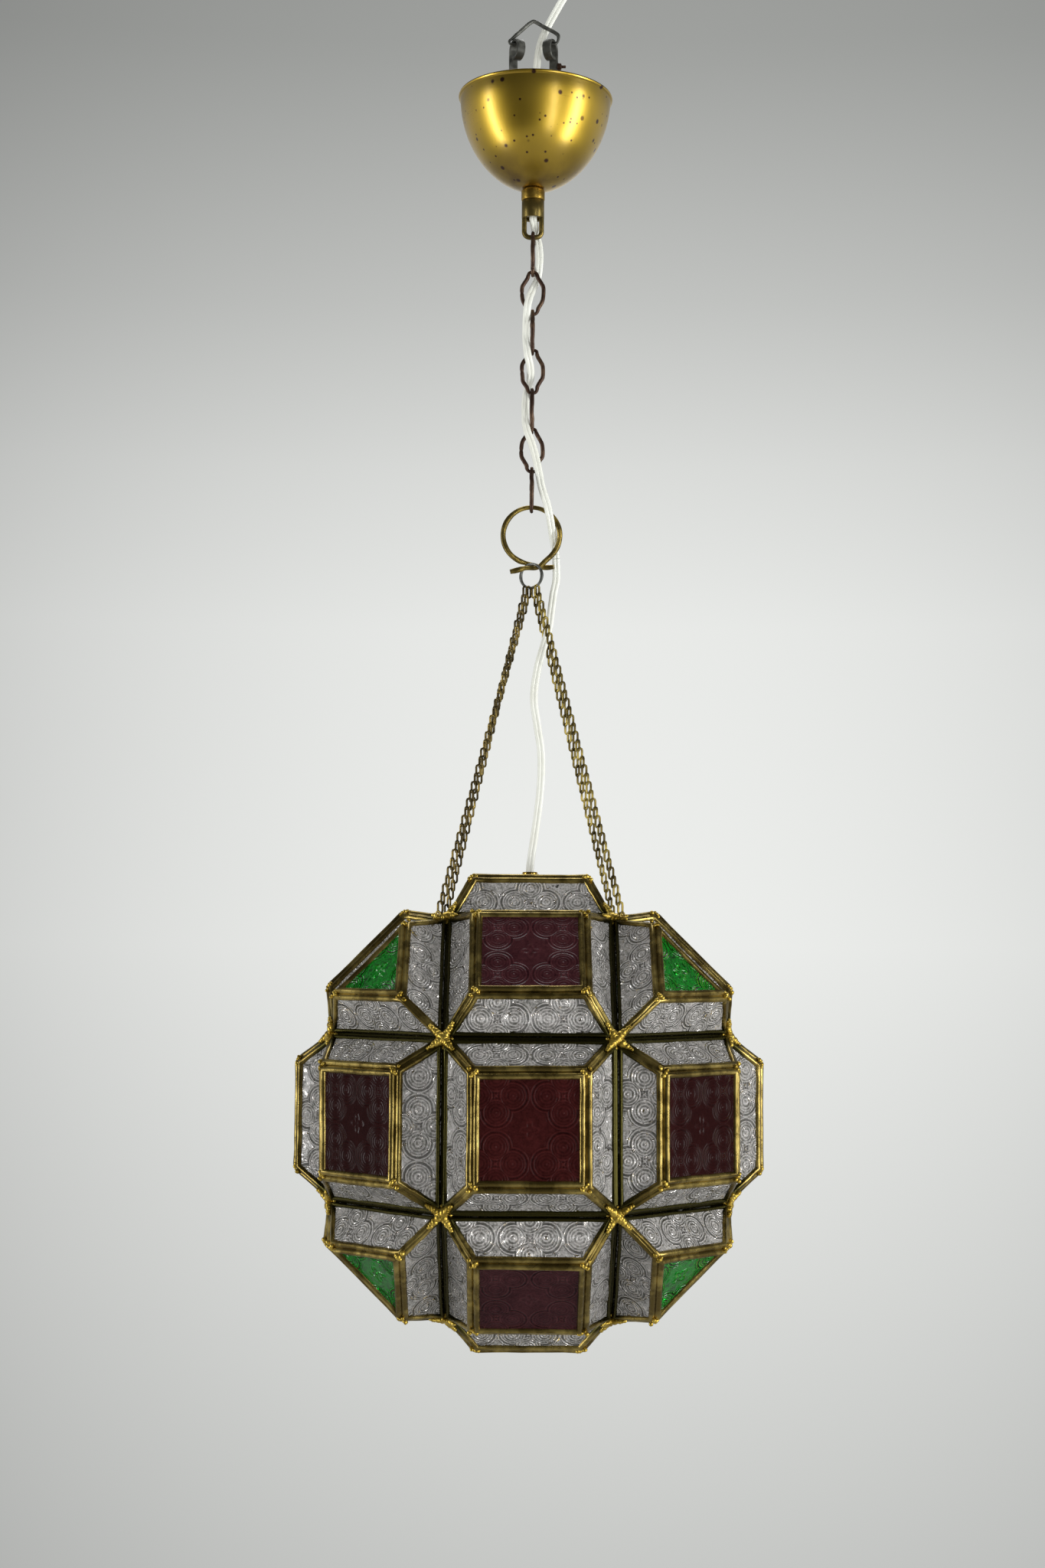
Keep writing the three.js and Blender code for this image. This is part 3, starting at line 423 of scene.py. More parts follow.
# %% [markdown]
# The pattern is painted into each glass as light and shade: a deep colour in the ground and a
# lighter one on the raised lines, with fine noise for painted glints and dark marks. The maroon
# panes of the flanks get painted shade as well. The clear panes have deep relief. On them and on
# the green glass, flecks picked by noise are made metallic and lighter, so they shine like small mirrors.

# %% Glass
# painted shade: the maroon panes of the left and right flanks are darkened towards the deep colour
FLANK_SHADE = (0.07, 0.09)   # metres from the middle: the darker maroon starts, and is full
FLANK_SHARE = 0.75     # how far it goes towards the deep colour
DEEP_CONTRAST = 0.5    # a glass with more contrast than this has mirrored facets


def pressed_glass(name, colour, deep, through, roughness, contrast, gloss, relief):
    """through is how much light the pane lets past; contrast is how strongly the pattern's painted light
    and shade show.
    """
    colour, deep = tint(*colour), tint(*deep)
    finish = Finish(name, {
        "Transmission Weight": through, "IOR": 1.5, "Specular IOR Level": gloss,
    })
    tiles = finish.add("ShaderNodeUVMap", {"uv_map": "pattern"})
    u, v, _ = finish.split(tiles)
    lines = on_signals.lines(u, v)
    rings = on_signals.rings(u, v)
    stipple = finish.noise(900.0, 2.0)
    cloud = finish.noise(45.0, 3.0)
    flecks = finish.noise(330.0, 2.0)
    # painted light and shade: the pattern's lines and rings, with fine noise for glints and dark marks,
    # lighten and darken the glass colour
    drawn = lines * 0.6 + rings * 0.25 + (stipple - 0.5) * 1.2 + (flecks - 0.5) * 1.5
    shade = finish.between(cloud * 0.5 + drawn * contrast, -0.15, 0.75)
    body = finish.mix(shade, deep, colour)
    if name == "maroon_glass":   # the panes of the left and right flanks are darker
        # painted shade on the maroon panes that face the sides
        flank = finish.between(abs(finish.split(finish.place)[0]), *FLANK_SHADE)
        body = finish.mix(flank * FLANK_SHARE, body, deep)
    if contrast > DEEP_CONTRAST:
        facets = finish.between(flecks + lines * 0.04, 0.58, 0.69)
        finish.feed("Metallic", facets)
        body = finish.mix(facets, body, colour)
    finish.feed("Base Color", body)
    finish.feed("Roughness", stipple * 0.14 + (roughness - 0.06))
    ripple = finish.bump(stipple + cloud + flecks * 1.5, relief * 0.6, 0.8)
    finish.feed("Normal", finish.bump(lines + rings * 0.4, relief, 1.0, ripple))
    return finish.material


PRESSED = {
    # name: colour, deep colour, through, roughness, contrast, gloss, relief in metres
    "clear_glass": ((255, 251, 247), (132, 131, 125), 0.45, 0.07, 1.0, 1.2, 0.0009),
    "maroon_glass": ((72, 34, 33), (32, 12, 12), 0.05, 0.16, 0.4, 0.06, 0.00016),
    "purple_glass": ((76, 44, 47), (34, 14, 19), 0.05, 0.16, 0.4, 0.06, 0.00014),
    "green_glass": ((20, 158, 44), (0, 44, 8), 0.3, 0.1, 0.8, 0.9, 0.0006),
}
GLASS = {name: pressed_glass(name, *settings) for name, settings in PRESSED.items()}
print(len(GLASS), "glasses")

# %% [markdown]
# Pieces are made from points in millimetres and turned into metres once, here. Each rides
# on the body that carries it and says which CAD nodes it stands for.


# %% Making and placing pieces
def new_mesh(name, points, faces, tiles=None):
    mesh = bpy.data.meshes.new(name)
    mesh.from_pydata((np.asarray(points, float) * MM).tolist(), [], faces)
    if tiles is not None:
        loops = np.empty(len(mesh.loops), int)
        mesh.loops.foreach_get("vertex_index", loops)
        layer = mesh.uv_layers.new(name="pattern")
        layer.data.foreach_set("uv", np.asarray(tiles, float)[loops].ravel())
    return mesh


def put(name, mesh, finish, body, replaced=(), sharp=38.0):
    """Puts a finished mesh in the scene: outward faces, smooth shading, one finish."""
    work = bmesh.new()
    work.from_mesh(mesh)
    bmesh.ops.recalc_face_normals(work, faces=work.faces)
    work.to_mesh(mesh)
    work.free()
    mesh.shade_smooth()
    mesh.set_sharp_from_angle(angle=math.radians(sharp))
    mesh.materials.clear()
    mesh.materials.append(finish)
    made = new_object(name, mesh)
    if body:
        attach(made, body)
    if replaced:
        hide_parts(*replaced)
    print(f"{name}: {len(mesh.polygons)} faces")
    return made


def gathered(*parts):
    """Several (points, faces) lists as one."""
    points, faces = [], []
    for own_points, own_faces in parts:
        start = len(points)
        points.extend(tuple(p) for p in own_points)
        faces.extend([start + i for i in face] for face in own_faces)
    return points, faces


print("ready to place pieces")


# %% [markdown]
# Paths of wire and cord run smoothly through a few points that were read off the photograph
# or worked out from sizes.

# %% Smooth paths
def smooth_path(points, step, closed=False):
    """A centripetal curve through the points, with a point about every step millimetres."""
    points = [np.array(p, float) for p in points]
    count = len(points)
    spans = count if closed else count - 1
    path = []
    for i in range(spans):
        if closed:
            around = [points[(i + k) % count] for k in (-1, 0, 1, 2)]
        else:
            before = points[i - 1] if i else 2 * points[0] - points[1]
            after = points[i + 2] if i + 2 < count else 2 * points[-1] - points[-2]
            around = [before, points[i], points[i + 1], after]
        knots = [0.0]
        for a, b in zip(around, around[1:]):
            knots.append(knots[-1] + max(np.linalg.norm(b - a), 1e-6) ** 0.5)
        steps = max(2, math.ceil(np.linalg.norm(around[2] - around[1]) / step))
        for k in range(steps):
            path.append(on_span(around, knots, knots[1] + (knots[2] - knots[1]) * k / steps))
    if not closed:
        path.append(points[-1])
    return np.array(path)


def on_span(points, knots, t):
    """One point between the middle two of four, by repeated blending."""
    def blend(pair, start, end):
        return ((knots[end] - t) * pair[0] + (t - knots[start]) * pair[1]) / (knots[end] - knots[start])

    first = [blend(points[i:i + 2], i, i + 1) for i in range(3)]
    second = [blend(first[i:i + 2], i, i + 2) for i in range(2)]
    return blend(second, 1, 2)


bow = smooth_path([(0, 0, 0), (10, 0, 5), (20, 0, 0)], 1.0)
print("a bow through 3 points has", len(bow), "points")

# %% [markdown]
# Two more shapes do most of the metalwork: a sweep carries an outline along a path, and a
# turned shape goes round an axis.


# %% Sweeps and turned shapes
def carried_sides(path, side):
    """A side vector for every point, turned as little as the path allows."""
    path = np.asarray(path)
    ways = np.gradient(path, axis=0)
    ways /= np.linalg.norm(ways, axis=1)[:, None]
    side = np.array(side, float)
    sides = []
    for way in ways:
        side = side - way * side.dot(way)
        side /= np.linalg.norm(side)
        sides.append(side)
    return ways, np.array(sides)


def swept(path, outline, side=(1, 0, 0), scales=None):
    """Carries an outline of (across, out) points along an open path, with closed ends."""
    ways, sides = carried_sides(path, side)
    outs = np.cross(ways, sides)
    outline = np.asarray(outline)
    count = len(outline)
    points = []
    for i, place in enumerate(path):
        wide, deep = scales[i] if scales is not None else (1.0, 1.0)
        points.extend(place + wide * a * sides[i] + deep * b * outs[i] for a, b in outline)
    faces = [[i * count + j, i * count + (j + 1) % count, (i + 1) * count + (j + 1) % count,
              (i + 1) * count + j] for i in range(len(path) - 1) for j in range(count)]
    faces.append(list(range(count))[::-1])
    faces.append([len(points) - count + j for j in range(count)])
    return points, faces


def turned(profile, count=96):
    """Turns (radius, z) points about the axis. They close on themselves or meet the axis."""
    points, rings = [], []
    for radius, z in profile:
        number = 1 if radius < 1e-6 else count
        rings.append([len(points) + k for k in range(number)])
        for k in range(number):
            angle = 2 * math.pi * k / count
            points.append((radius * math.cos(angle), radius * math.sin(angle), z))
    faces = []
    pairs = list(zip(rings, rings[1:]))
    if profile[0][0] > 1e-6:
        pairs.append((rings[-1], rings[0]))
    for a, b in pairs:
        for k in range(count):
            corners = [a[k % len(a)], a[(k + 1) % len(a)], b[(k + 1) % len(b)], b[k % len(b)]]
            face = list(dict.fromkeys(corners))
            if len(face) > 2:
                faces.append(face)
    return points, faces


def barrel(bore, radius, low, high, across, up):
    """The profile of a tube whose outer edges are chamfered: so far across, and so far up."""
    return [(bore, low), (radius - across, low), (radius, low + up), (radius, high - up),
            (radius - across, high), (bore, high)]


def circle(diameter, count=14):
    turn = 2 * math.pi / count
    return [(diameter / 2 * math.cos(k * turn), diameter / 2 * math.sin(k * turn)) for k in range(count)]


def moved(shape, offset):
    points, faces = shape
    return [tuple(np.add(p, offset)) for p in points], faces


print("a turned washer has", len(turned([(4, 0), (8, 0), (8, 1), (4, 1)])[1]), "faces")

# %% [markdown]
# The hanging parts form a stack of known heights. The same few sizes as in the solid
# model give them all, so the cord and the chain fall into place.

# %% Heights of the stack
GAP = 0.3         # between parts that hang in one another
PIVOT_Z = -15.0   # where the bail swings in the fork
RIM_Z = -52.5     # the cup's rim
CUP_DEPTH = 63.7
CUP_FOOT_Z = RIM_Z - CUP_DEPTH
SHOULDER_Z = CUP_FOOT_Z + 1.3
TUBE_TOP_Z = SHOULDER_Z + 15.8
COLLAR_Z = CUP_FOOT_Z - GAP
SLEEVE_Z = COLLAR_Z - 8.2
LOOP_Z = SLEEVE_Z - 11.9
BAR_Z = LOOP_Z - 12.8
LINK_WIRE = 2.2     # the diameter of the wire
LINK_SPAN = 29.4    # a link, from middle to middle of its wire at both ends
LINK_PITCH = 26.9   # from one link to the next
LINK_COUNT = 7
FIRST_LINK_Z = BAR_Z + 1.7 + GAP + LINK_WIRE / 2   # 1.7 is half the loop's wire
RING_WIRE = 3.0
RING_RADIUS = 19.0
CORD_BESIDE = 3.5   # how far beside the chain the cord weaves, at 1 in its tables


def link_top(number):
    return FIRST_LINK_Z - number * LINK_PITCH


def link_bottom(number):
    return link_top(number) - LINK_SPAN


RING_Z = link_bottom(LINK_COUNT - 1) + (LINK_WIRE + RING_WIRE) / 2 + GAP - RING_RADIUS
STRAND_Z = RING_Z - 22.0
SMALL_RING_RADIUS = 8.1
SMALL_RING_WIRE = 1.8
SMALL_RING_Z = STRAND_Z + (RING_WIRE + SMALL_RING_WIRE) / 2 + GAP - SMALL_RING_RADIUS
SMALL_RING_TURN = math.radians(-30)
VALLEY_TOP_Z = SMALL_RING_Z - SMALL_RING_RADIUS - 220.5
SIDE = 105.0                # a boss, from valley to valley
SILVER = 1 + math.sqrt(2)   # the width of the body whose sides are 1
LANTERN_Z = VALLEY_TOP_Z - SILVER / 2 * SIDE
LANTERN_PLACE = Vector((0, 0, LANTERN_Z))
CROWN_RISE, CROWN_TOP = 27.0, 76.0   # how far the top boss rises, and its width at the top
BUSHING_SEAT_Z = VALLEY_TOP_Z + CROWN_RISE - 0.5 + GAP   # on the pane of the top boss
print("lantern centre at", round(LANTERN_Z, 1), "mm")

# %% [markdown]
# The cord is one flat twin flex. It leaves the ceiling cup's tube, climbs between the
# prongs to the terminal block, and on the other side it weaves down through the links and
# the ring into the lantern. It is cut at each joint.

# %% Routes of the cord
FLEX_WIDTH = 5.2
FLEX_THICKNESS = 3.0
BLOCK_X, BLOCK_Y, BLOCK_Z = 26.5, 5.0, 33.0


def supply_route():
    def up(share):
        return TUBE_TOP_Z + share * (PIVOT_Z - TUBE_TOP_Z)
    return [
        (0, 0, SHOULDER_Z - 7), (0, 0, TUBE_TOP_Z + 1), (0.6, 0.6, up(0.22)), (1.4, 1.4, up(0.52)),
        (2.1, 2.8, up(0.81)), (3.4, 4.2, up(0.95)), (5.4, 5, PIVOT_Z + 4.5), (9.4, 5.2, PIVOT_Z + 14.2),
        (13.6, 5.2, PIVOT_Z + 22.2), (18.3, 5, PIVOT_Z + 30.7), (22.2, 5, PIVOT_Z + 37.5),
        (BLOCK_X - 1.2, BLOCK_Y, BLOCK_Z - 5.5), (BLOCK_X - 0.1, BLOCK_Y, BLOCK_Z - 1),
        (BLOCK_X, BLOCK_Y, BLOCK_Z + 3), (BLOCK_X, BLOCK_Y, BLOCK_Z + 8.7),
    ]


def chain_route():
    # x and y in units of CORD_BESIDE, and the height as a number of links down
    weave = [
        (0.29, 0.43, -0.2), (0.63, 1.43, 0.01), (1.03, 1.71, 0.17), (1.31, 1.43, 0.43),
        (1.31, 1.14, 0.73), (1.14, 1.26, 0.96), (0.74, 1.2, 1.2), (0.06, 0.51, 1.42), (-0.51, -0.46, 1.64),
        (-0.91, -1.2, 1.88), (-1.11, -1.14, 2.11), (-1.2, -0.71, 2.37), (-1.23, -0.43, 2.67),
        (-1.09, -0.74, 2.93), (-0.91, -1.29, 3.15), (-0.46, -0.63, 3.39), (-0.29, 0.34, 3.61),
        (-0.57, 1.11, 3.86), (-1.11, 1.31, 4.08), (-1.26, 0.97, 4.3), (-1.29, 0, 4.6),
        (-1.2, -0.86, 4.9), (-0.86, -1.37, 5.12), (-0.17, -1.49, 5.36), (0.46, -1.37, 5.62),
        (0.97, -1.26, 5.88), (1.4, -1.26, 6.16), (1.89, -1.31, 6.5),
    ]
    # x and z in units of the ring's radius, y in units of CORD_BESIDE
    through_ring = [
        (0.54, -1.37, 1.07), (0.61, -1.26, 0.76), (0.67, -0.69, 0.48), (0.72, 0.11, 0.2),
        (0.77, 0.86, -0.08), (0.83, 1.31, -0.42), (0.87, 1.4, -0.78),
    ]
    route = [(0, 0, COLLAR_Z - 9), (0, 0, LOOP_Z + 1)]
    route += [(x * CORD_BESIDE, y * CORD_BESIDE, link_top(n)) for x, y, n in weave]
    return route + [
        (x * RING_RADIUS, y * CORD_BESIDE, RING_Z + z * RING_RADIUS) for x, y, z in through_ring
    ]


def lantern_route():
    top = BUSHING_SEAT_Z + 3.8
    start = RING_Z - 0.78 * RING_RADIUS - GAP

    def down(share):
        return start + share * (top - start)
    side = 0.87 * RING_RADIUS
    return [
        (side, 1.4 * CORD_BESIDE, start), (side + 0.3, 1.6 * CORD_BESIDE, down(0.033)),
        (side + 0.2, 5.2, down(0.068)), (14.9, 4.2, down(0.115)), (13.7, 3, down(0.16)),
        (11.8, 2, down(0.226)), (7.8, 1, down(0.293)), (4.3, 0.4, down(0.36)), (2.1, 0, down(0.452)),
        (4.5, 0, down(0.537)), (7.1, 0, down(0.625)), (6.7, 0, down(0.738)), (3.4, 0, down(0.87)),
        (0.9, 0, down(0.952)), (0, 0, top + 2), (0, 0, BUSHING_SEAT_Z - 13.5),
    ]


def flex_outline(count=24):
    """Two round cores side by side, with a shallow groove between them."""
    core = FLEX_THICKNESS / 2
    apart = FLEX_WIDTH / 2 - core
    outline = []
    for k in range(count):
        angle = 2 * math.pi * k / count
        x, y = math.cos(angle), math.sin(angle)
        reach = apart * abs(x) + math.sqrt(max(core ** 2 - (apart * y) ** 2, 0.0))
        outline.append((reach * x, reach * y))
    return outline


def length_of(path):
    return float(np.linalg.norm(np.diff(path, axis=0), axis=1).sum())


for label, route in (("supply", supply_route), ("chain", chain_route), ("lantern", lantern_route)):
    print(label, "cord", round(length_of(smooth_path(route(), 2.0))), "mm")

# %% [markdown]
# Each length of flex is a sweep of the twin section along its part of the route.


# %% The cord's pieces
CORD_STEP = 0.7      # millimetres between two sections of the sweep
BEND_REACH = 9       # millimetres above and below a link's joint, where the flex bends


def flex_piece(name, path, bodies, start_z, end_z, replaced=()):
    """A length of flex swept along its path and baked in place. The bodies and the two heights are not
    used.
    """
    shape = swept(path, flex_outline())
    made = put(name, new_mesh(name, *shape), PLAIN["white_vinyl"], None, replaced, 75)
    start_z * MM
    end_z * MM
    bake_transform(made)
    return made


def cut_lengths(path, heights):
    """A falling path cut at the given heights."""
    lengths, start = [], 0
    for z in heights:
        end = int(np.argmax(path[:, 2] < z))
        lengths.append(path[start:end + 1])
        start = end
    return lengths + [path[start:]]


supply_path = smooth_path(supply_route(), CORD_STEP)
supply = flex_piece("supply_cord", supply_path, ("bail", "cup"), -6.0, -34.0, ["supply_cord"])

lantern_path = smooth_path(lantern_route(), CORD_STEP)
lower = flex_piece("lantern_cord", lantern_path, ("ring", "lantern"), STRAND_Z + 1, -420.0,
                   ["lantern_cord"])

joint_heights = [BAR_Z] + [link_bottom(n) for n in range(LINK_COUNT)]
links = [f"link_{n + 1}" for n in range(LINK_COUNT)]
chain_bodies = ["cup", *links, "ring"]
middles = [(a + b) / 2 for a, b in zip(joint_heights, joint_heights[1:])]
chain_path = smooth_path(chain_route(), CORD_STEP)
for n, part in enumerate(cut_lengths(chain_path, middles)):
    z = joint_heights[n]
    flex_piece(f"woven_cord_{n + 1}", part, chain_bodies[n:n + 2], z + BEND_REACH, z - BEND_REACH,
               ["chain_cord"] if n == 0 else [])

TUBE_TOP_Z * MM
print(len(middles) + 3, "lengths of flex")

# %% [markdown]
# Geometry Nodes grows what repeats or follows a line. A Grower is a tree with named inputs.
# It runs on loose points and edges, and what it makes is kept as a plain mesh.

# %% Geometry Nodes trees
GEOMETRY = "NodeSocketGeometry"


class Grower(Nodes):
    """A Geometry Nodes tree with named inputs, and a way to grow a plain mesh from it."""

    def __init__(self, name, inputs):
        super().__init__(bpy.data.node_groups.new(name, "GeometryNodeTree"))
        sockets = self.tree.interface
        sockets.new_socket("Geometry", in_out="INPUT", socket_type=GEOMETRY)
        for label, kind in inputs.items():
            sockets.new_socket(label, in_out="INPUT", socket_type="NodeSocket" + kind)
        sockets.new_socket("Material", in_out="INPUT", socket_type="NodeSocketMaterial")
        sockets.new_socket("Geometry", in_out="OUTPUT", socket_type=GEOMETRY)
        self.group_input = self.tree.nodes.new("NodeGroupInput")
        self.group_output = self.tree.nodes.new("NodeGroupOutput")

    def given(self, label):
        return Signal(self, self.group_input.outputs[label])

    def attribute(self, name, kind="FLOAT"):
        return self.add("GeometryNodeInputNamedAttribute", {"data_type": kind}, {"Name": name})

    def close(self, geometry):
        whole = self.add("GeometryNodeRealizeInstances", None, {0: geometry})
        dressed = self.add("GeometryNodeSetMaterial", None, {0: whole, "Material": self.given("Material")})
        self.plug(self.group_output.inputs[0], dressed)
        return self

    def grow(self, name, points, edges, values, attributes=None):
        """Runs the tree on loose points and edges, and keeps the result as a plain mesh."""
        seed = bpy.data.meshes.new(name + "_seed")
        seed.from_pydata((np.asarray(points, float) * MM).tolist(), edges, [])
        for label, data in (attributes or {}).items():
            data = np.asarray(data, float)
            kind = "FLOAT_VECTOR" if data.ndim == 2 else "FLOAT"
            layer = seed.attributes.new(label, kind, "POINT")
            layer.data.foreach_set("vector" if data.ndim == 2 else "value", data.ravel())
        holder = new_object(name + "_seed", seed)
        modifier = holder.modifiers.new("grow", "NODES")
        modifier.node_group = self.tree
        for item in self.tree.interface.items_tree:
            if item.in_out == "INPUT" and item.name in values:
                modifier[item.identifier] = values[item.name]
        graph = bpy.context.evaluated_depsgraph_get()
        mesh = bpy.data.meshes.new_from_object(holder.evaluated_get(graph))
        holder.modifiers.remove(modifier)
        bpy.data.objects.remove(holder)
        return mesh


print("growers ready")

# %% [markdown]
# Wires are round stock that follows a path: the bail, the links, the rings. Each point of
# the path carries how thick the wire is there, so hammered ends and a seam need no extra
# mesh.


# %% A tree for wires
def wire_tree():
    tree = Grower("bent_wire", {"Diameter": "Float", "Sides": "Int"})
    line = tree.add("GeometryNodeMeshToCurve", None, {0: tree.given("Geometry")})
    thick = tree.attribute("thick")
    line = tree.add("GeometryNodeSetCurveRadius", None, {"Curve": line, "Radius": thick})
    ring = tree.add("GeometryNodeCurvePrimitiveCircle", None, {
        "Resolution": tree.given("Sides"), "Radius": tree.given("Diameter") * 0.5,
    })
    tube = tree.add("GeometryNodeCurveToMesh", None, {
        "Curve": line, "Profile Curve": ring, "Scale": thick, "Fill Caps": True,
    })
    return tree.close(tube)


bent_wire = wire_tree()


def wire_mesh(name, path, diameter, closed=False, thick=None, sides=14):
    count = len(path)
    edges = [(i, i + 1) for i in range(count - 1)] + ([(count - 1, 0)] if closed else [])
    thick = np.ones(count) if thick is None else np.asarray(thick)
    values = {"Diameter": diameter * MM, "Sides": sides}
    return bent_wire.grow(name, path, edges, values, {"thick": thick})


print("wire tree ready")

# %% [markdown]
# Every link of the chain is one bent wire, closed with a seam halfway down one side. It
# narrows to a neck at each end. The links hang crosswise, turn and turn about.


# %% Link chain
hand = random.Random(11)   # every small unevenness comes from this one, in a fixed order


SEAM_HALF = 0.45                          # half the height of the seam
THICK, THICK_AT_SEAM, THINNED = 1.27, 1.08, 0.3
LINK_STRAY = (0.22, 0.12)                 # across the link, and out of its plane


def link_path():
    half = LINK_SPAN / 2
    wide, neck = 6.8, 3.1                 # half widths at the middle and at the neck
    quarter = [(0.72 * neck, half - 0.7), (neck, half - 2.4), (neck + 0.5, half - 4.2),
               (0.86 * wide, half - 8.0), (wide, half - 10.6)]
    right = [(u, 0, v) for u, v in quarter] + [(u, 0, -v) for u, v in reversed(quarter)]
    left = [(-x, 0, -z) for x, _, z in right]
    bent = [(x + hand.gauss(0, LINK_STRAY[0]), hand.gauss(0, LINK_STRAY[1]), z)
            for x, _, z in right + left]
    count = len(right)
    return smooth_path([(0, 0, half), *bent[:count], (0, 0, -half), *bent[count:]], 0.8, closed=True)


def link_thickness(path):
    """Thinner at the seam, and thinner at both ends."""
    thick = []
    for x, _, z in path:
        seam = x < 0 and abs(z) < SEAM_HALF
        bend = max(0.0, 1 - abs(abs(z) - LINK_SPAN / 2) / 3)
        thick.append((THICK_AT_SEAM if seam else THICK) - THINNED * bend ** 0.5)
    return thick


for n in range(LINK_COUNT):
    path = link_path()
    thickness = link_thickness(path)
    path[:, 2] += link_top(n) - LINK_SPAN / 2
    if n % 2 == 0:
        path = path[:, [1, 0, 2]] * (1, -1, 1)
    mesh = wire_mesh(f"link_{n + 1}", path, LINK_WIRE, True, thickness)
    put(f"chain_link_{n + 1}_wire", mesh, METALS["dark_bronze"], f"link_{n + 1}",
        [f"chain_link_{n + 1}"])

# %% [markdown]
# The ring below the chain is one length of wire whose ends cross at the foot. The small
# ring of grey wire hangs where they cross, and carries the chains. Both are thinner where
# they meet another wire, so that they stay clear of it.


# %% Ring and small ring
def ring_path():
    low = -22.0
    front = [(-14.2, 0, low - 2.6), (-9, 0, low - 1.4), (-4.6, 0, low - 0.2), (-1.8, 0, low),
             (2.6, 0, low), (5.8, 0, low + 1.2), (9.4, 0, low + 4.8)]
    angles = [math.radians(-42 + 22 * i) for i in range(13)]
    around = [(math.cos(a) * RING_RADIUS, 0, math.sin(a) * RING_RADIUS) for a in angles]
    behind = [(-8.4, 1.7, low + 5.2), (-3.6, 3.8, low + 3.9), (1.5, 3.8, low + 2.7),
              (6, 3.8, low + 1.5), (10.5, 3, low + 0.9), (15, 1.5, low + 1.1)]
    return smooth_path([*front, *around, *behind], 1.0) + np.array((0, 0, RING_Z))


path = ring_path()
along = np.linspace(0, 1, len(path))
ends = np.minimum(along, 1 - along)
heights, across = path[:, 2] - RING_Z, np.abs(path[:, 0])
clear_of_link = np.clip((np.abs(heights - RING_RADIUS) - 1) / 6, 0, 1)
clear_of_small_ring = np.clip(np.maximum((across - 4.5) / 3, (heights + 15) / 4), 0, 1)
hammered = 0.2 + 0.04 * np.sin(along * 61)
thickness = 1.0 + hammered * (clear_of_link * clear_of_small_ring) * np.clip(ends / 0.02, 0.2, 1)
mesh = wire_mesh("ring", path, RING_WIRE, thick=thickness)
put("ring_wire", mesh, METALS["ring_brass"], "ring", ["chain_ring"])

turn = (math.cos(SMALL_RING_TURN), math.sin(SMALL_RING_TURN))
path = np.array([
    (SMALL_RING_RADIUS * math.cos(a) * turn[0], SMALL_RING_RADIUS * math.cos(a) * turn[1],
     SMALL_RING_Z + SMALL_RING_RADIUS * math.sin(a))
    for a in np.linspace(0, 2 * math.pi, 64, endpoint=False)
])
above = np.abs(path[:, 2] - SMALL_RING_Z) / SMALL_RING_RADIUS
thickness = 1.0 + 0.3 * np.clip(1 - 1.5 * above, 0, 1)
mesh = wire_mesh("small_ring", path, SMALL_RING_WIRE, closed=True, thick=thickness)
put("small_ring_wire", mesh, METALS["grey_steel"], "lantern", ["small_ring"])

# %% [markdown]
# The lantern is a body with 26 faces, each carrying a raised boss. These are the closed
# forms of the solid model: the valley corners, the names, and the outlines at any depth.
# Only the top boss is larger here. Each corner strays a little, as on hand-made work.

# %% Lantern faces
SQUARE_RISE, SQUARE_TOP = 23.3, 69.6
TRIANGLE_RISE, TRIANGLE_TOP = 28.3, 65.8
SQUARE_DISTANCE = SILVER / 2
EDGE_DISTANCE = math.hypot(SQUARE_DISTANCE, 0.5)
TRIANGLE_DISTANCE = (2 + SILVER) / (2 * math.sqrt(3))
STRAY = 0.4   # millimetres, how far a corner strays


def valley_corners():
    corners = []
    for long in range(3):
        for signs in range(8):
            corners.append(Vector([
                (SQUARE_DISTANCE if axis == long else 0.5) * (1 if signs & (1 << axis) else -1)
                for axis in range(3)
            ]))
    return corners


def face_name(x, y, z):
    if not x and not y:
        return "top" if z > 0 else "bottom"
    words = (("lower", "", "upper")[z + 1], ("front", "", "back")[y + 1], ("left", "", "right")[x + 1])
    return "_".join(word for word in words if word)


class Face:
    """One of the 26 faces, with the corners of its valley outline for a side of 1."""

    def __init__(self, direction):
        self.direction = direction
        self.name = face_name(*direction)
        self.normal = Vector(direction).normalized()
        self.triangular = all(direction)
        self.distance = TRIANGLE_DISTANCE if self.triangular else SQUARE_DISTANCE
        self.rise, self.top_side = self.boss_size()
        own = [c for c in valley_corners() if c.dot(self.normal) > self.distance - 0.01]
        first = (own[0] - self.normal * own[0].dot(self.normal)).normalized()
        second = self.normal.cross(first)
        self.corners = sorted(own, key=lambda c: math.atan2(c.dot(second), c.dot(first)))

    def boss_size(self):
        if self.triangular:
            return TRIANGLE_RISE, TRIANGLE_TOP
        return (CROWN_RISE, CROWN_TOP) if self.name == "top" else (SQUARE_RISE, SQUARE_TOP)

    @property
    def body(self):
        return "door" if self.name == "back" else "lantern"


AXIS = (-1, 0, 1)
FACES = [Face((x, y, z)) for x in AXIS for y in AXIS for z in AXIS if x or y or z]


def stray_vector(reach):
    return Vector([hand.uniform(-reach, reach) for _ in range(3)])


valley_stray = {tuple(round(v, 3) for v in c): stray_vector(STRAY) for c in valley_corners()}
top_stray = {face.name: [stray_vector(STRAY) for _ in face.corners] for face in FACES}
print(len(FACES), "faces")

# %% [markdown]
# A boss is a low pyramid without its tip. At any depth below its outside it has an outline
# for the coloured pane on top and one for each slanted side.


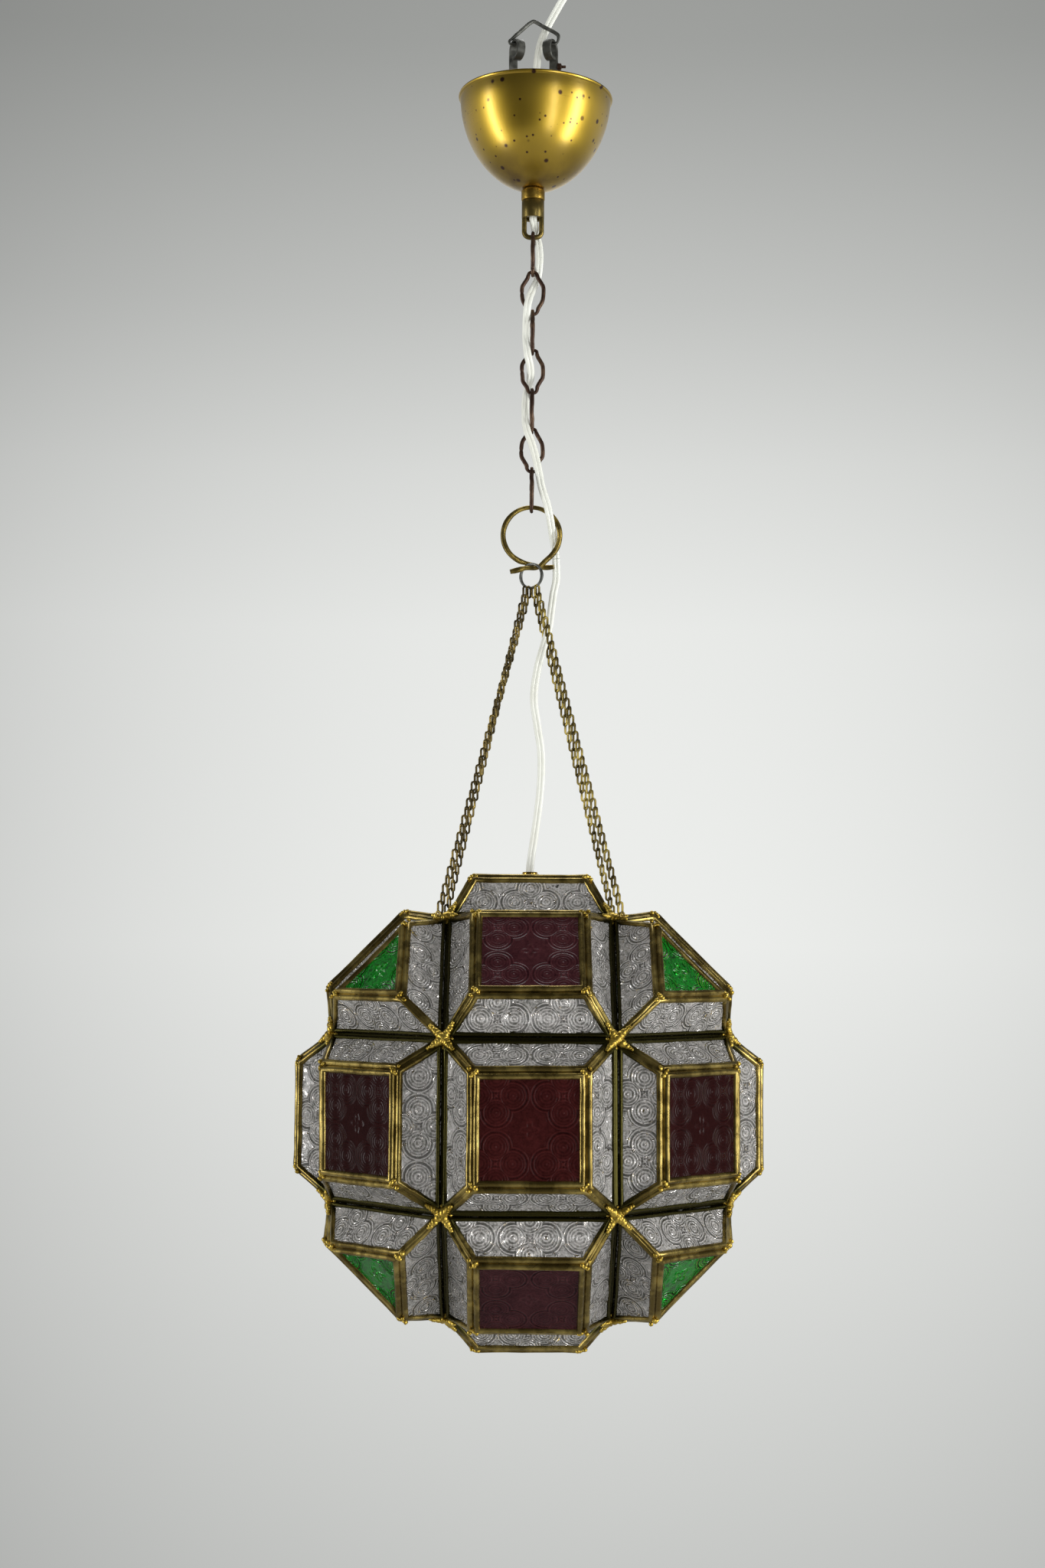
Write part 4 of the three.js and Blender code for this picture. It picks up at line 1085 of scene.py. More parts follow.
# %% Outlines of the panes
def layer(face, depth):
    """A boss's valley corners and top corners, at a depth below its outside."""
    side = SIDE - depth / EDGE_DISTANCE
    lift = face.distance * (SIDE - side) + face.rise - depth
    width = side - (SIDE - face.top_side) * lift / face.rise
    centre = face.normal * face.distance * side
    base, top = [], []
    for i, corner in enumerate(face.corners):
        key = tuple(round(v, 3) for v in corner)
        base.append(corner * side + valley_stray[key])
        spread = (corner * side - centre) * (width / side)
        top.append(spread + centre + face.normal * lift + top_stray[face.name][i])
    return base, top


def outlines(face, depth):
    """The coloured top, then the slanted sides, each as a ring of corners."""
    base, top = layer(face, depth)
    return [top] + [[a, b, d, c] for (a, b), (c, d) in zip(sides_of(base), sides_of(top))]


def sides_of(ring):
    """Every corner of a ring with the one after it."""
    return list(zip(ring, ring[1:] + ring[:1]))


def normal_of(outline):
    return sum((a.cross(b) for a, b in sides_of(outline)), Vector()).normalized()


def drawn_in(outline, *distances):
    """The outline with every side moved inwards, all alike or each by its own distance."""
    normal = normal_of(outline)
    count = len(outline)
    moves = distances if len(distances) > 1 else distances * count
    inward = [normal.cross((b - a).normalized()) for a, b in sides_of(outline)]
    ring = []
    for i, corner in enumerate(outline):
        lean = inward[i - 1].dot(inward[i])
        before = (moves[i - 1] - lean * moves[i]) / (1 - lean * lean)
        after = (moves[i] - lean * moves[i - 1]) / (1 - lean * lean)
        ring.append(corner + inward[i - 1] * before + inward[i] * after)
    return ring


print("a boss has", len(outlines(FACES[0], 0)), "outlines")

# %% [markdown]
# Every pane is edged with its own brass channel, which runs round it in one ring.
# The channels follow the outlines, so Geometry Nodes sweeps a rounded section along them.
# The section grows at each corner as a mitre does, and its normal is the pane's.

# %% Channels
CHANNEL_WIDTH = 4.3
CHANNEL_DEPTH = 3.0
CHANNEL_INSET = 1.05   # from the pane's outline to the channel's edge
VALLEY_SHARE = 0.6     # along the valleys the channels have this share of their width
CHANNEL_STEPS = 7      # points along each side
LOOSE, PROUD = 0.09, 0.07   # how far these points stray, sideways and outwards


def channel_section_points():
    """(out, across) points of the half-round section, from one foot over to the other."""
    half = CHANNEL_WIDTH / 2
    crown = [(-2.2, 1.0), (-1.5, 0.98), (-0.8, 0.9), (-0.15, 0.74), (0.35, 0.5), (0.62, 0.24)]
    right = [(out, across * half) for out, across in crown]
    left = [(out, -across) for out, across in reversed(right)]
    return [(-CHANNEL_DEPTH, half), *right, (0.72, 0.0), *left, (-CHANNEL_DEPTH, -half)]


def channel_tree():
    tree = Grower("channel_along_outline", {"Scale": "Float"})
    line = tree.add("GeometryNodeMeshToCurve", None, {0: tree.given("Geometry")})
    line = tree.add("GeometryNodeSetCurveNormal", {"mode": "FREE"}, {
        "Curve": line, "Normal": tree.attribute("out", "FLOAT_VECTOR"),
    })
    pieces = []
    for ends in sides_of(channel_section_points()):
        start, end = [
            tree.add("ShaderNodeCombineXYZ", None, {0: out * MM, 1: across * MM}) for out, across in ends
        ]
        pieces.append(tree.add("GeometryNodeCurvePrimitiveLine", {"mode": "POINTS"}, {0: start, 1: end}))
    whole = tree.tree.nodes.new("GeometryNodeJoinGeometry")
    for piece in reversed(pieces):
        tree.plug(whole.inputs[0], piece)
    flat = tree.add("GeometryNodeCurveToMesh", None, {"Curve": Signal(tree, whole.outputs[0])})
    welded = tree.add("GeometryNodeMergeByDistance", None, {"Geometry": flat, "Distance": 1e-6})
    section = tree.add("GeometryNodeMeshToCurve", None, {0: welded})
    swept_mesh = tree.add("GeometryNodeCurveToMesh", None, {
        "Curve": line, "Profile Curve": section, "Scale": tree.attribute("mitre"),
    })
    return tree.close(swept_mesh)


channels = channel_tree()
print("channel section of", len(channel_section_points()), "points")

# %% [markdown]
# The line of a channel runs inside its pane's outline, by half the channel's width. The
# points between the corners stray a little, and so the channels aren't quite straight.


# %% Lines for the channels
def channel_lines(faces):
    """Points, edges and attributes of the line that each channel follows."""
    points, edges, normals, mitres = [], [], [], []
    for face in faces:
        for number, outline in enumerate(outlines(face, 0)):
            normal = normal_of(outline)
            shares = [1.0 if number == 0 or i else VALLEY_SHARE for i in range(len(outline))]
            ring = drawn_in(outline, *[CHANNEL_INSET + s * CHANNEL_WIDTH / 2 for s in shares])
            first = len(points)
            for i, corner in enumerate(ring):
                after = ring[(i + 1) % len(ring)]
                way_in = (corner - ring[i - 1]).normalized()
                way_out = (after - corner).normalized()
                half_turn = math.acos(max(-1, min(1, way_in.dot(way_out)))) / 2
                across = normal.cross(way_out)
                for k in range(CHANNEL_STEPS):
                    loose = 0.0 if k == 0 else hand.gauss(0, LOOSE)
                    proud = 0.0 if k == 0 else hand.gauss(0, PROUD)
                    at = corner.lerp(after, k / CHANNEL_STEPS)
                    points.append(at + across * loose + normal * proud)
                    normals.append(normal)
                    mitre = (shares[i] + shares[i - 1]) / 2 / math.cos(half_turn)
                    mitres.append(mitre if k == 0 else shares[i])
            last = len(points)
            edges += [(i, i + 1) for i in range(first, last - 1)] + [(last - 1, first)]
    return points, edges, normals, mitres


def channel_mesh(name, faces):
    points, edges, normals, mitres = channel_lines(faces)
    lifted = [p + LANTERN_PLACE for p in points]
    return channels.grow(name, lifted, edges, {}, {"out": [list(n) for n in normals], "mitre": mitres})


print(sum(len(face.corners) + 1 for face in FACES), "channels")

# %% [markdown]
# The boss at the back is a door. It hangs on a barrel hinge: two knuckles on the cage and one
# on the door, about one pin. A tab at its free edge opens it. Four wire eyes on the upper
# corners of the cage take the fine chains.

# %% Hinge, pull tab and wire eyes
HINGE_PIN, KNUCKLE_RADIUS = 2.2, 2.6
KNUCKLE_LENGTH, DOOR_KNUCKLE_LENGTH = 14.0, 26.0
HINGE_STAND = KNUCKLE_RADIUS + GAP + 0.05   # from the axis to the slanted faces beside it
LEAF_HALF, TAB_HALF = 0.7, 6.0              # half the thickness of the strips, half the tab's width
TAB_X, TAB_REACH = 50.0, 8.5
EYE_RADIUS_SMALL, EYE_WIRE = 2.0, 1.2
EYE_AT, EYE_LIFT = 8.1, 1.8                 # up the ridge from the valley corner, and above it


def hinge_place():
    """The hinge axis and the two ways that its leaves reach back to the bosses."""
    valley = Vector((-0.5, SQUARE_DISTANCE)) * SIDE
    outward = valley.normalized()
    door_side = Vector((-SQUARE_RISE, (SIDE - SQUARE_TOP) / 2)).normalized()
    lean = door_side.dot(outward)
    cage_side = outward * (2 * lean) - door_side
    return valley + outward * (HINGE_STAND / lean), door_side, cage_side


def rectangle(half_across, half_out):
    return [(half_across, -half_out), (half_across, half_out), (-half_across, half_out),
            (-half_across, -half_out)]


def knuckle(bottom, height, side):
    """A rolled barrel with its leaf, about the hinge axis."""
    bore = HINGE_PIN / 2 + GAP
    roll = turned(barrel(bore, KNUCKLE_RADIUS, bottom, bottom + height, 0.25, 0.3), 28)
    reach = HINGE_STAND + 1.4
    path = [np.array((-side.x * t, -side.y * t, 0)) for t in np.linspace(bore + 0.3, reach, 6)]
    leaf = swept([p + (0, 0, bottom + height / 2) for p in path],
                 rectangle(LEAF_HALF, height / 2), side=(-side.y, side.x, 0))
    return gathered(roll, leaf)


hinge_axis, door_side, cage_side = hinge_place()
hinge_offset = (hinge_axis.x, hinge_axis.y, LANTERN_Z)
start = DOOR_KNUCKLE_LENGTH / 2 + GAP
cage_knuckles = gathered(
    moved(knuckle(start, KNUCKLE_LENGTH, cage_side), hinge_offset),
    moved(knuckle(-start - KNUCKLE_LENGTH, KNUCKLE_LENGTH, cage_side), hinge_offset),
)
door_knuckle = moved(knuckle(-DOOR_KNUCKLE_LENGTH / 2, DOOR_KNUCKLE_LENGTH, door_side), hinge_offset)


def pull_tab():
    """A strip of brass folded out from the door's free edge."""
    seat = SQUARE_DISTANCE * SIDE + 2 * SQUARE_RISE / (SIDE - SQUARE_TOP) * 2.5
    path = [np.array((TAB_X, seat - 1.6 + t, 0)) for t in np.linspace(0, TAB_REACH, 8)]
    scales = [(1.0, 1.0)] * 6 + [(1.0, 0.94), (0.8, 0.72)]
    return moved(swept(path, rectangle(LEAF_HALF, TAB_HALF), scales=scales), (0, 0, LANTERN_Z))


def eye_centre(x, y):
    """On the ridge of an upper corner triangle, near the valley corner by the top boss."""
    face = next(f for f in FACES if f.direction == (x, y, 1))
    base, top = layer(face, 0)
    seat = max(range(3), key=lambda i: base[i].z)
    ridge = (top[seat] - base[seat]).normalized()
    return base[seat] + ridge * EYE_AT + Vector((0, 0, EYE_LIFT + LANTERN_Z))


def eye_mesh(x, y):
    centre = eye_centre(x, y)
    turn = math.atan2(y, x)
    path = []
    for a in np.linspace(0, 2 * math.pi, 28, endpoint=False):
        beside, above = EYE_RADIUS_SMALL * math.cos(a), EYE_RADIUS_SMALL * math.sin(a)
        path.append(centre + Vector((beside * -math.sin(turn), beside * math.cos(turn), above)))
    return wire_mesh("eye", path, EYE_WIRE, closed=True, sides=10)


print("hinge at", [round(v, 1) for v in hinge_offset], "mm")

# %% [markdown]
# Under the channels lie round rods of solder, which close the joints: one in each valley
# between two bosses, and one under each ridge. The tree for wires draws them.

# %% Rods of solder in the valleys and under the ridges
VALLEY_ROD, VALLEY_ROD_SUNK = 3.4, 1.7   # diameter, and how deep the rod's middle lies
RIDGE_ROD, RIDGE_ROD_SUNK = 3.0, 3.6


def valley_lines(faces):
    """The ends of every valley that isn't round the door, sunk to the rod's middle."""
    lines = {}
    for face in FACES:
        base, _ = layer(face, 0)
        for corner, after in sides_of(base):
            key = frozenset(tuple(round(v, 2) for v in p) for p in (corner, after))
            sunk = (corner + after).normalized() * VALLEY_ROD_SUNK
            if face not in faces:
                lines[key] = None
            elif key not in lines:
                lines[key] = (corner - sunk, after - sunk)
    return [ends for ends in lines.values() if ends]


def ridge_lines(faces):
    """The ends of every ridge: round each coloured pane, and down to each valley corner."""
    lines = []
    for face in faces:
        base, top = layer(face, 0)
        inside = face.normal * (face.distance * SIDE)
        for (corner, after), foot in zip(sides_of(top), base):
            for a, b in ((corner, after), (corner, foot)):
                sunk = ((a + b) / 2 - inside).normalized() * RIDGE_ROD_SUNK
                lines.append((a - sunk, b - sunk))
    return lines


def rods(name, lines, diameter):
    points = [end + LANTERN_PLACE for ends in lines for end in ends]
    edges = [(2 * i, 2 * i + 1) for i in range(len(lines))]
    values = {"Diameter": diameter * MM, "Sides": 8}
    return bent_wire.grow(name, points, edges, values, {"thick": np.ones(len(points))})


fixed = [face for face in FACES if face.body == "lantern"]
hung = [face for face in FACES if face.body == "door"]
print(len(valley_lines(fixed)), "valleys,", len(ridge_lines(fixed)), "ridges on the cage")

# %% [markdown]
# The cage joins its channels, rods, knuckles and eyes in one mesh. The door's frame has
# channels, rods, a knuckle and the pull tab.

# %% Cage and door frame
def joined(*meshes):
    """Several meshes as one."""
    work = bmesh.new()
    for mesh in meshes:
        work.from_mesh(mesh)
    whole = bpy.data.meshes.new("joined")
    work.to_mesh(whole)
    work.free()
    return whole


cage = joined(
    channel_mesh("cage", fixed), new_mesh("knuckles", *cage_knuckles),
    rods("valleys", valley_lines(fixed), VALLEY_ROD), rods("ridges", ridge_lines(fixed), RIDGE_ROD),
    *[eye_mesh(x, y) for x in (-1, 1) for y in (-1, 1)],
)
put("cage_channels", cage, METALS["aged_brass"], "lantern", ["lantern_cage"])
door = joined(
    channel_mesh("door", hung), rods("door_ridges", ridge_lines(hung), RIDGE_ROD),
    new_mesh("knuckle", *door_knuckle), new_mesh("tab", *pull_tab()),
)
put("door_channels", door, METALS["aged_brass"], "door", ["door_frame"])

# %% [markdown]
# Bright solder lies on the channels: blobs round each corner of a coloured pane, and a rough
# star where the bosses meet. Each blob is a small ball, squashed, turned and roughened by
# noise, so that no two are alike. The tree's seed is fixed.


# %% Solder
ROUGHENING, SOLDER_SEED = 0.8, 5
STAR_RIDGES = (0.8, 2.6, 4.4, 6.2, 8.0, 9.8, 11.4)   # where blobs lie, up a ridge from its foot
STAR_VALLEYS = (2.6, 5.4)                            # and along a valley
# How far from a top corner a blob lies, how deep, and how large it is
BLOB_INWARDS, BLOB_DOWN, BLOB_BESIDE = (2.4, 0.7, 1.7), (2.6, 0.4, 1.5), (3.2, 0.8, 1.3)
UNEVEN = (0.75, 1.15)                                # a blob's smallest and largest stretch
ANY_TURN = (6.28, 6.28, 6.28)


def solder_tree():
    tree = Grower("solder_blobs", {"Roughening": "Float", "Seed": "Int"})
    ball = tree.add("GeometryNodeMeshIcoSphere", None, {"Radius": 1.0, "Subdivisions": 3})
    turn = tree.add("FunctionNodeRandomValue", {"data_type": "FLOAT_VECTOR"}, {
        0: (0.0, 0.0, 0.0), 1: ANY_TURN, "Seed": tree.given("Seed"),
    })
    laid = tree.add("GeometryNodeInstanceOnPoints", None, {
        "Points": tree.given("Geometry"), "Instance": ball, "Rotation": turn,
        "Scale": tree.attribute("size", "FLOAT_VECTOR"),
    })
    real = tree.add("GeometryNodeRealizeInstances", None, {0: laid})
    rough = tree.add("ShaderNodeTexNoise", None, {"Scale": 380.0, "Detail": 1.0}, 1)
    push = tree.add("ShaderNodeVectorMath", {"operation": "SUBTRACT"}, {0: rough, 1: (0.5, 0.5, 0.5)})
    scaled = tree.add("ShaderNodeVectorMath", {"operation": "SCALE"}, {
        0: push, "Scale": tree.given("Roughening"),
    })
    moved_points = tree.add("GeometryNodeSetPosition", None, {0: real, "Offset": scaled})
    return tree.close(moved_points)


def solder_points(faces):
    """Where the blobs sit, and how large each is, in millimetres."""
    points, sizes = [], []

    def drop(face, corner, target, distance, depth, size):
        at = corner + (target - corner).normalized() * distance - face.normal * depth
        points.append(at + LANTERN_PLACE)
        sizes.append([size * hand.uniform(*UNEVEN) * MM for _ in range(3)])

    for face in faces:
        base, top = layer(face, 0)
        middle = face.normal * (face.distance * SIDE + face.rise)
        count = len(base)
        for i, corner in enumerate(top):
            drop(face, corner, middle, *BLOB_INWARDS)
            drop(face, corner, base[i], *BLOB_DOWN)
            for other in (top[i - 1], top[(i + 1) % count]):
                drop(face, corner, other, *BLOB_BESIDE)
        for i, corner in enumerate(base):
            for distance in STAR_RIDGES:
                drop(face, corner, top[i], distance, 0.5, 3.2 - 0.17 * distance)
            for distance in STAR_VALLEYS:
                drop(face, corner, base[(i + 1) % count], distance, 0.4, 1.9 - 0.12 * distance)
    return points, sizes


blobs = solder_tree()
for name, faces, body in (("cage_solder", fixed, "lantern"), ("door_solder", hung, "door")):
    points, sizes = solder_points(faces)
    values = {"Roughening": ROUGHENING * MM, "Seed": SOLDER_SEED}
    mesh = blobs.grow(name, points, [], values, {"size": sizes})
    put(name, mesh, METALS["solder"], body)

# %% [markdown]
# The front of a pane is a fine grid over three or four corners. The pattern lifts the points
# of the grid by a fraction of a millimetre.

# %% Grids for the panes
GRID = 1.15   # millimetres between the points, at most


def patch(outline):
    """Points, faces and border of a grid over a ring of three or four corners."""
    if len(outline) == 3:
        return triangle_patch(outline)
    a, b, c, d = outline
    across = max(2, math.ceil(max((b - a).length, (c - d).length) / GRID))
    along = max(2, math.ceil(max((c - b).length, (d - a).length) / GRID))
    points = []
    for j in range(along + 1):
        left, right = a.lerp(d, j / along), b.lerp(c, j / along)
        points += [left.lerp(right, i / across) for i in range(across + 1)]

    def at(i, j):
        return j * (across + 1) + i
    faces = [[at(i, j), at(i + 1, j), at(i + 1, j + 1), at(i, j + 1)]
             for j in range(along) for i in range(across)]
    border = [at(i, 0) for i in range(across)] + [at(across, j) for j in range(along)]
    border += [at(i, along) for i in range(across, 0, -1)] + [at(0, j) for j in range(along, 0, -1)]
    return points, faces, border


def triangle_patch(outline):
    a, b, c = outline
    count = max(2, math.ceil((b - a).length / GRID))
    points, index = [], {}
    for j in range(count + 1):
        for i in range(count + 1 - j):
            index[i, j] = len(points)
            points.append(a + (b - a) * (i / count) + (c - a) * (j / count))
    faces = []
    for i, j in index:
        if i + j < count:
            faces.append([index[i, j], index[i + 1, j], index[i, j + 1]])
        if i + j < count - 1:
            faces.append([index[i + 1, j], index[i + 1, j + 1], index[i, j + 1]])
    border = [index[i, 0] for i in range(count)] + [index[count - j, j] for j in range(count)]
    return points, faces, border + [index[0, j] for j in range(count, 0, -1)]


print("the first coloured pane has", len(patch(outlines(FACES[0], 0)[0])[0]), "points")

# %% [markdown]
# A pane is one pressed sheet with a flat back, lying in its channels. On the coloured panes
# the pattern is centred. On the clear ones it starts at different places, as on panes that
# are cut from one large sheet.

# %% Panes
PANE_DEPTH = 0.9        # how far the front lies below the outside
PANE_THICKNESS = 2.0
PANE_INSET = 2.2        # from the ridge to the edge of the sheet, under the channel
SHIFT = 0.12            # tiles, how far the pattern of a clear pane strays


def pane(outline, centred, relief):
    """A pressed sheet over an outline: its points, faces and pattern coordinates."""
    normal = normal_of(outline)
    way = (outline[1] - outline[0]).normalized()
    rise = normal.cross(way)
    points, faces, border = patch(outline)
    middle = sum(outline, Vector()) / len(outline)
    shift = (0.5, 0.5) if centred else (hand.choice((0.0, 0.5)), hand.uniform(-SHIFT, SHIFT))
    tiles = np.array([((p - middle).dot(way) / TILE + shift[0], (p - middle).dot(rise) / TILE + shift[1])
                      for p in points])
    heights = relief * on_numbers.swell(tiles[:, 0], tiles[:, 1])
    front = [p + normal * (h - relief) for p, h in zip(points, heights)]
    count = len(front)
    back = [points[i] - normal * PANE_THICKNESS for i in border]
    rim = len(border)
    walls = [[border[k], count + k, count + (k + 1) % rim, border[(k + 1) % rim]] for k in range(rim)]
    faces = faces + walls + [[count + k for k in reversed(range(rim))]]
    return front + back, faces, np.vstack([tiles, tiles[border]])


def sheets(name, glass, outlines_with_centring, body, replaced):
    points, faces, tiles = [], [], []
    relief = RELIEF if glass in ("clear_glass", "green_glass") else FAINT_RELIEF
    for outline, centred in outlines_with_centring:
        own_points, own_faces, own_tiles = pane(drawn_in(outline, PANE_INSET), centred, relief)
        start = len(points)
        points += [p + LANTERN_PLACE for p in own_points]
        faces += [[start + i for i in face] for face in own_faces]
        tiles.append(own_tiles)
    mesh = new_mesh(name, points, faces, np.vstack(tiles))
    return put(name, mesh, GLASS[glass], body, replaced, sharp=50.0)


def glass_of(face):
    if face.triangular:
        return "green_glass"
    return "purple_glass" if face.direction[2] and face.name not in ("top", "bottom") else "maroon_glass"


for face in FACES:
    top = outlines(face, PANE_DEPTH)[0]
    sheets(f"glass_{face.name}", glass_of(face), [(top, True)], face.body, [f"pane_{face.name}"])

LEVELS = {"upper": 1, "middle": 0, "lower": -1}
for region, level in LEVELS.items():
    own = [(o, False) for f in fixed if f.direction[2] == level for o in outlines(f, PANE_DEPTH)[1:]]
    sheets(f"clear_{region}", "clear_glass", own, "lantern", [f"clear_glass_{region}"])
own = [(outline, False) for outline in outlines(hung[0], PANE_DEPTH)[1:]]
sheets("clear_door", "clear_glass", own, "door", ["clear_glass_door"])

# %% [markdown]
# Four fine chains carry the lantern. A tree lays a small link at every step of a straight
# line, each turned a quarter from the last, so it needs only the two ends of the chain.

# %% Fine chains
FINE_PITCH, FINE_WIDTH, FINE_WIRE = 5.95, 4.9, 1.5
FINE_SPACING = 2.4                # between two chains on the small ring
FINE_ROUNDING = 0.42              # the corners of a link, as a share of its width
TRIM_TOP, TRIM_FOOT = 0.2, 1.9    # how much shorter than from ring to eye, at each end
FINE_TURN = 0.6                   # how far the first link is turned
STRAIGHT_STEPS = 30


def fine_chain_tree():
    tree = Grower("fine_chain", {
        "Count": "Int", "Pitch": "Float", "Width": "Float", "Wire": "Float", "Turn": "Float",
    })
    length = tree.given("Pitch") + tree.given("Wire") * 2
    outline = tree.add("GeometryNodeCurvePrimitiveQuadrilateral", None, {
        "Width": tree.given("Width") - tree.given("Wire"), "Height": length - tree.given("Wire"),
    })
    rounded = tree.add("GeometryNodeFilletCurve", {"mode": "POLY"}, {
        "Curve": outline, "Radius": (tree.given("Width") - tree.given("Wire")) * FINE_ROUNDING, "Count": 2,
    })
    section = tree.add("GeometryNodeCurvePrimitiveCircle", None, {
        "Resolution": 8, "Radius": tree.given("Wire") * 0.5,
    })
    link = tree.add("GeometryNodeCurveToMesh", None, {"Curve": rounded, "Profile Curve": section})
    upright = tree.add("GeometryNodeTransform", None, {"Geometry": link, "Rotation": (math.pi / 2, 0, 0)})
    line = tree.add("GeometryNodeMeshToCurve", None, {0: tree.given("Geometry")})
    spaced = tree.add("GeometryNodeCurveToPoints", None, {"Curve": line, "Count": tree.given("Count")})
    way = tree.add("GeometryNodeInputTangent")
    aligned = tree.add("FunctionNodeAlignRotationToVector", {"axis": "Z"}, {"Vector": way})
    number = tree.add("GeometryNodeInputIndex")
    angle = number * (math.pi / 2) + tree.given("Turn")
    spin = tree.add("ShaderNodeCombineXYZ", None, {2: angle})
    turned_link = tree.add("FunctionNodeRotateRotation", {"rotation_space": "LOCAL"}, {
        0: aligned, 1: spin,
    })
    laid = tree.add("GeometryNodeInstanceOnPoints", None, {
        "Points": spaced, "Instance": upright, "Rotation": turned_link,
    })
    return tree.close(laid)


fine_chain = fine_chain_tree()
ring_way = Vector((turn[0], turn[1], 0))
CHAINS = (("back_left", -1, 1, -1.5), ("front_left", -1, -1, -0.5),
          ("back_right", 1, 1, 0.5), ("front_right", 1, -1, 1.5))
for name, x, y, place in CHAINS:
    offset = place * FINE_SPACING
    drop = math.sqrt(SMALL_RING_RADIUS ** 2 - offset ** 2)
    top = Vector((0, 0, SMALL_RING_Z - drop)) + ring_way * offset
    foot = eye_centre(x, y)
    way = (foot - top).normalized()
    first = top + way * (FINE_PITCH / 2 + TRIM_TOP)
    last = foot - way * (FINE_PITCH / 2 + TRIM_FOOT)
    count = round((last - first).length / FINE_PITCH) + 1
    points = [first.lerp(last, k / STRAIGHT_STEPS) for k in range(STRAIGHT_STEPS + 1)]
    steps = [(k, k + 1) for k in range(STRAIGHT_STEPS)]
    pitch = (last - first).length / (count - 1)
    mesh = fine_chain.grow(name, points, steps, {
        "Count": count, "Pitch": pitch * MM, "Width": FINE_WIDTH * MM, "Wire": FINE_WIRE * MM,
        "Turn": FINE_TURN,
    })
    # painted light and shade: the right chains take the lighter copy of the chain metal, the left ones the
    # darker copy
    metal = METALS["chain_bronze" if x < 0 else "chain_brass"]
    put(f"chain_{name}", mesh, metal, "lantern", [f"fine_chain_{name}"])

# %% [markdown]
# The ceiling cup is one smooth turned shell with a rolled lip, and it hangs slightly askew.
# The collar below it and the bushing on top of the lantern are turned too.

# %% Ceiling cup, collar and bushing
CUP_RADIUS, CUP_WALL, CUP_FULLNESS, CUP_FOOT = 51.0, 1.0, 0.55, 9.0
CUP_LEAN = math.radians(1.3)
CORD_HOLE = 5.3   # the radius of the holes that the cord goes through
COLLAR_HEIGHT, TURNED_STEPS = 7.9, 64


def cup_profile(radius, depth, steps=40):
    height = depth / math.sqrt(1 - (CUP_FOOT / radius) ** (1 / CUP_FULLNESS))
    downs = [depth * math.sin(i / steps * math.pi / 2) for i in range(steps + 1)]
    return [(radius * (1 - (d / height) ** 2) ** CUP_FULLNESS, RIM_Z - d) for d in downs]


def cup_shape():
    inside = cup_profile(CUP_RADIUS - CUP_WALL, CUP_DEPTH - CUP_WALL)
    outside = [p for p in cup_profile(CUP_RADIUS, CUP_DEPTH) if p[1] < RIM_Z - 2.9]
    lip = [(CUP_RADIUS, RIM_Z - 2.7), (CUP_RADIUS + 0.3, RIM_Z - 2.4), (CUP_RADIUS + 1.0, RIM_Z - 2.0),
           (CUP_RADIUS + 1.3, RIM_Z - 1.2), (CUP_RADIUS + 1.0, RIM_Z - 0.4), (CUP_RADIUS + 0.2, RIM_Z)]
    hole = [(CORD_HOLE, CUP_FOOT_Z + CUP_WALL), (CORD_HOLE, CUP_FOOT_Z)]
    points, faces = turned([*inside, *hole, *reversed(outside), *lip], 128)
    lean = Matrix.Rotation(CUP_LEAN, 3, "Y")
    foot = Vector((0, 0, CUP_FOOT_Z))
    return [tuple(lean @ (Vector(p) - foot) + foot) for p in points], faces


put("cup_shell", new_mesh("cup", *cup_shape()), METALS["spun_brass"], "cup", ["ceiling_cup"])

low = COLLAR_Z - COLLAR_HEIGHT
collar = turned([(CORD_HOLE, low), (7.3, low), (7.7, low + 0.3), (7.9, low + 0.9), (7.9, COLLAR_Z - 1.5),
                 (7.6, COLLAR_Z - 0.7), (6.9, COLLAR_Z), (CORD_HOLE, COLLAR_Z)], TURNED_STEPS)
put("collar_turned", new_mesh("collar", *collar), METALS["collar_brass"], "cup",
    ["cup_collar"])

seat = BUSHING_SEAT_Z
bushing = turned([(3.3, seat - 12), (4.5, seat - 12), (4.5, seat), (6.0, seat), (6.2, seat + 0.3),
                  (6.2, seat + 2.0), (5.9, seat + 2.4), (5.0, seat + 2.5), (5.0, seat + 3.4),
                  (4.7, seat + 3.8), (3.3, seat + 3.8)], TURNED_STEPS)
put("bushing_turned", new_mesh("bushing", *bushing), METALS["bright_brass"], "lantern",
    ["cord_bushing"])

# %% [markdown]
# The hang loop is a sleeve with a wire bent into a U below it, which the first link hangs in.


# %% Hang loop
LOOP_WIRE, SLEEVE_RADIUS = 3.4, 7.6


def hang_loop_shape():
    sleeve = turned(barrel(CORD_HOLE, SLEEVE_RADIUS, LOOP_Z, SLEEVE_Z, 0.3, 0.4), TURNED_STEPS)
    half = [(5.8, 0, LOOP_Z + 1.5), (5.8, 0, BAR_Z + 5.8), (5.7, 0, BAR_Z + 2.9),
            (4.7, 0, BAR_Z + 1.1), (2.9, 0, BAR_Z + 0.14)]
    path = smooth_path([*half, (0, 0, BAR_Z), *[(-x, y, z) for x, y, z in reversed(half)]], 0.8)
    return sleeve, path


sleeve, path = hang_loop_shape()
loop = joined(new_mesh("sleeve", *sleeve), wire_mesh("loop", path, LOOP_WIRE))
put("hang_loop_turned", loop, METALS["loop_brass"], "cup", ["hang_loop"])

# %% [markdown]
# The bail is plain wire, bent not quite evenly, and thicker above the fork.

# %% Bail
BAIL_WIRE = 1.8


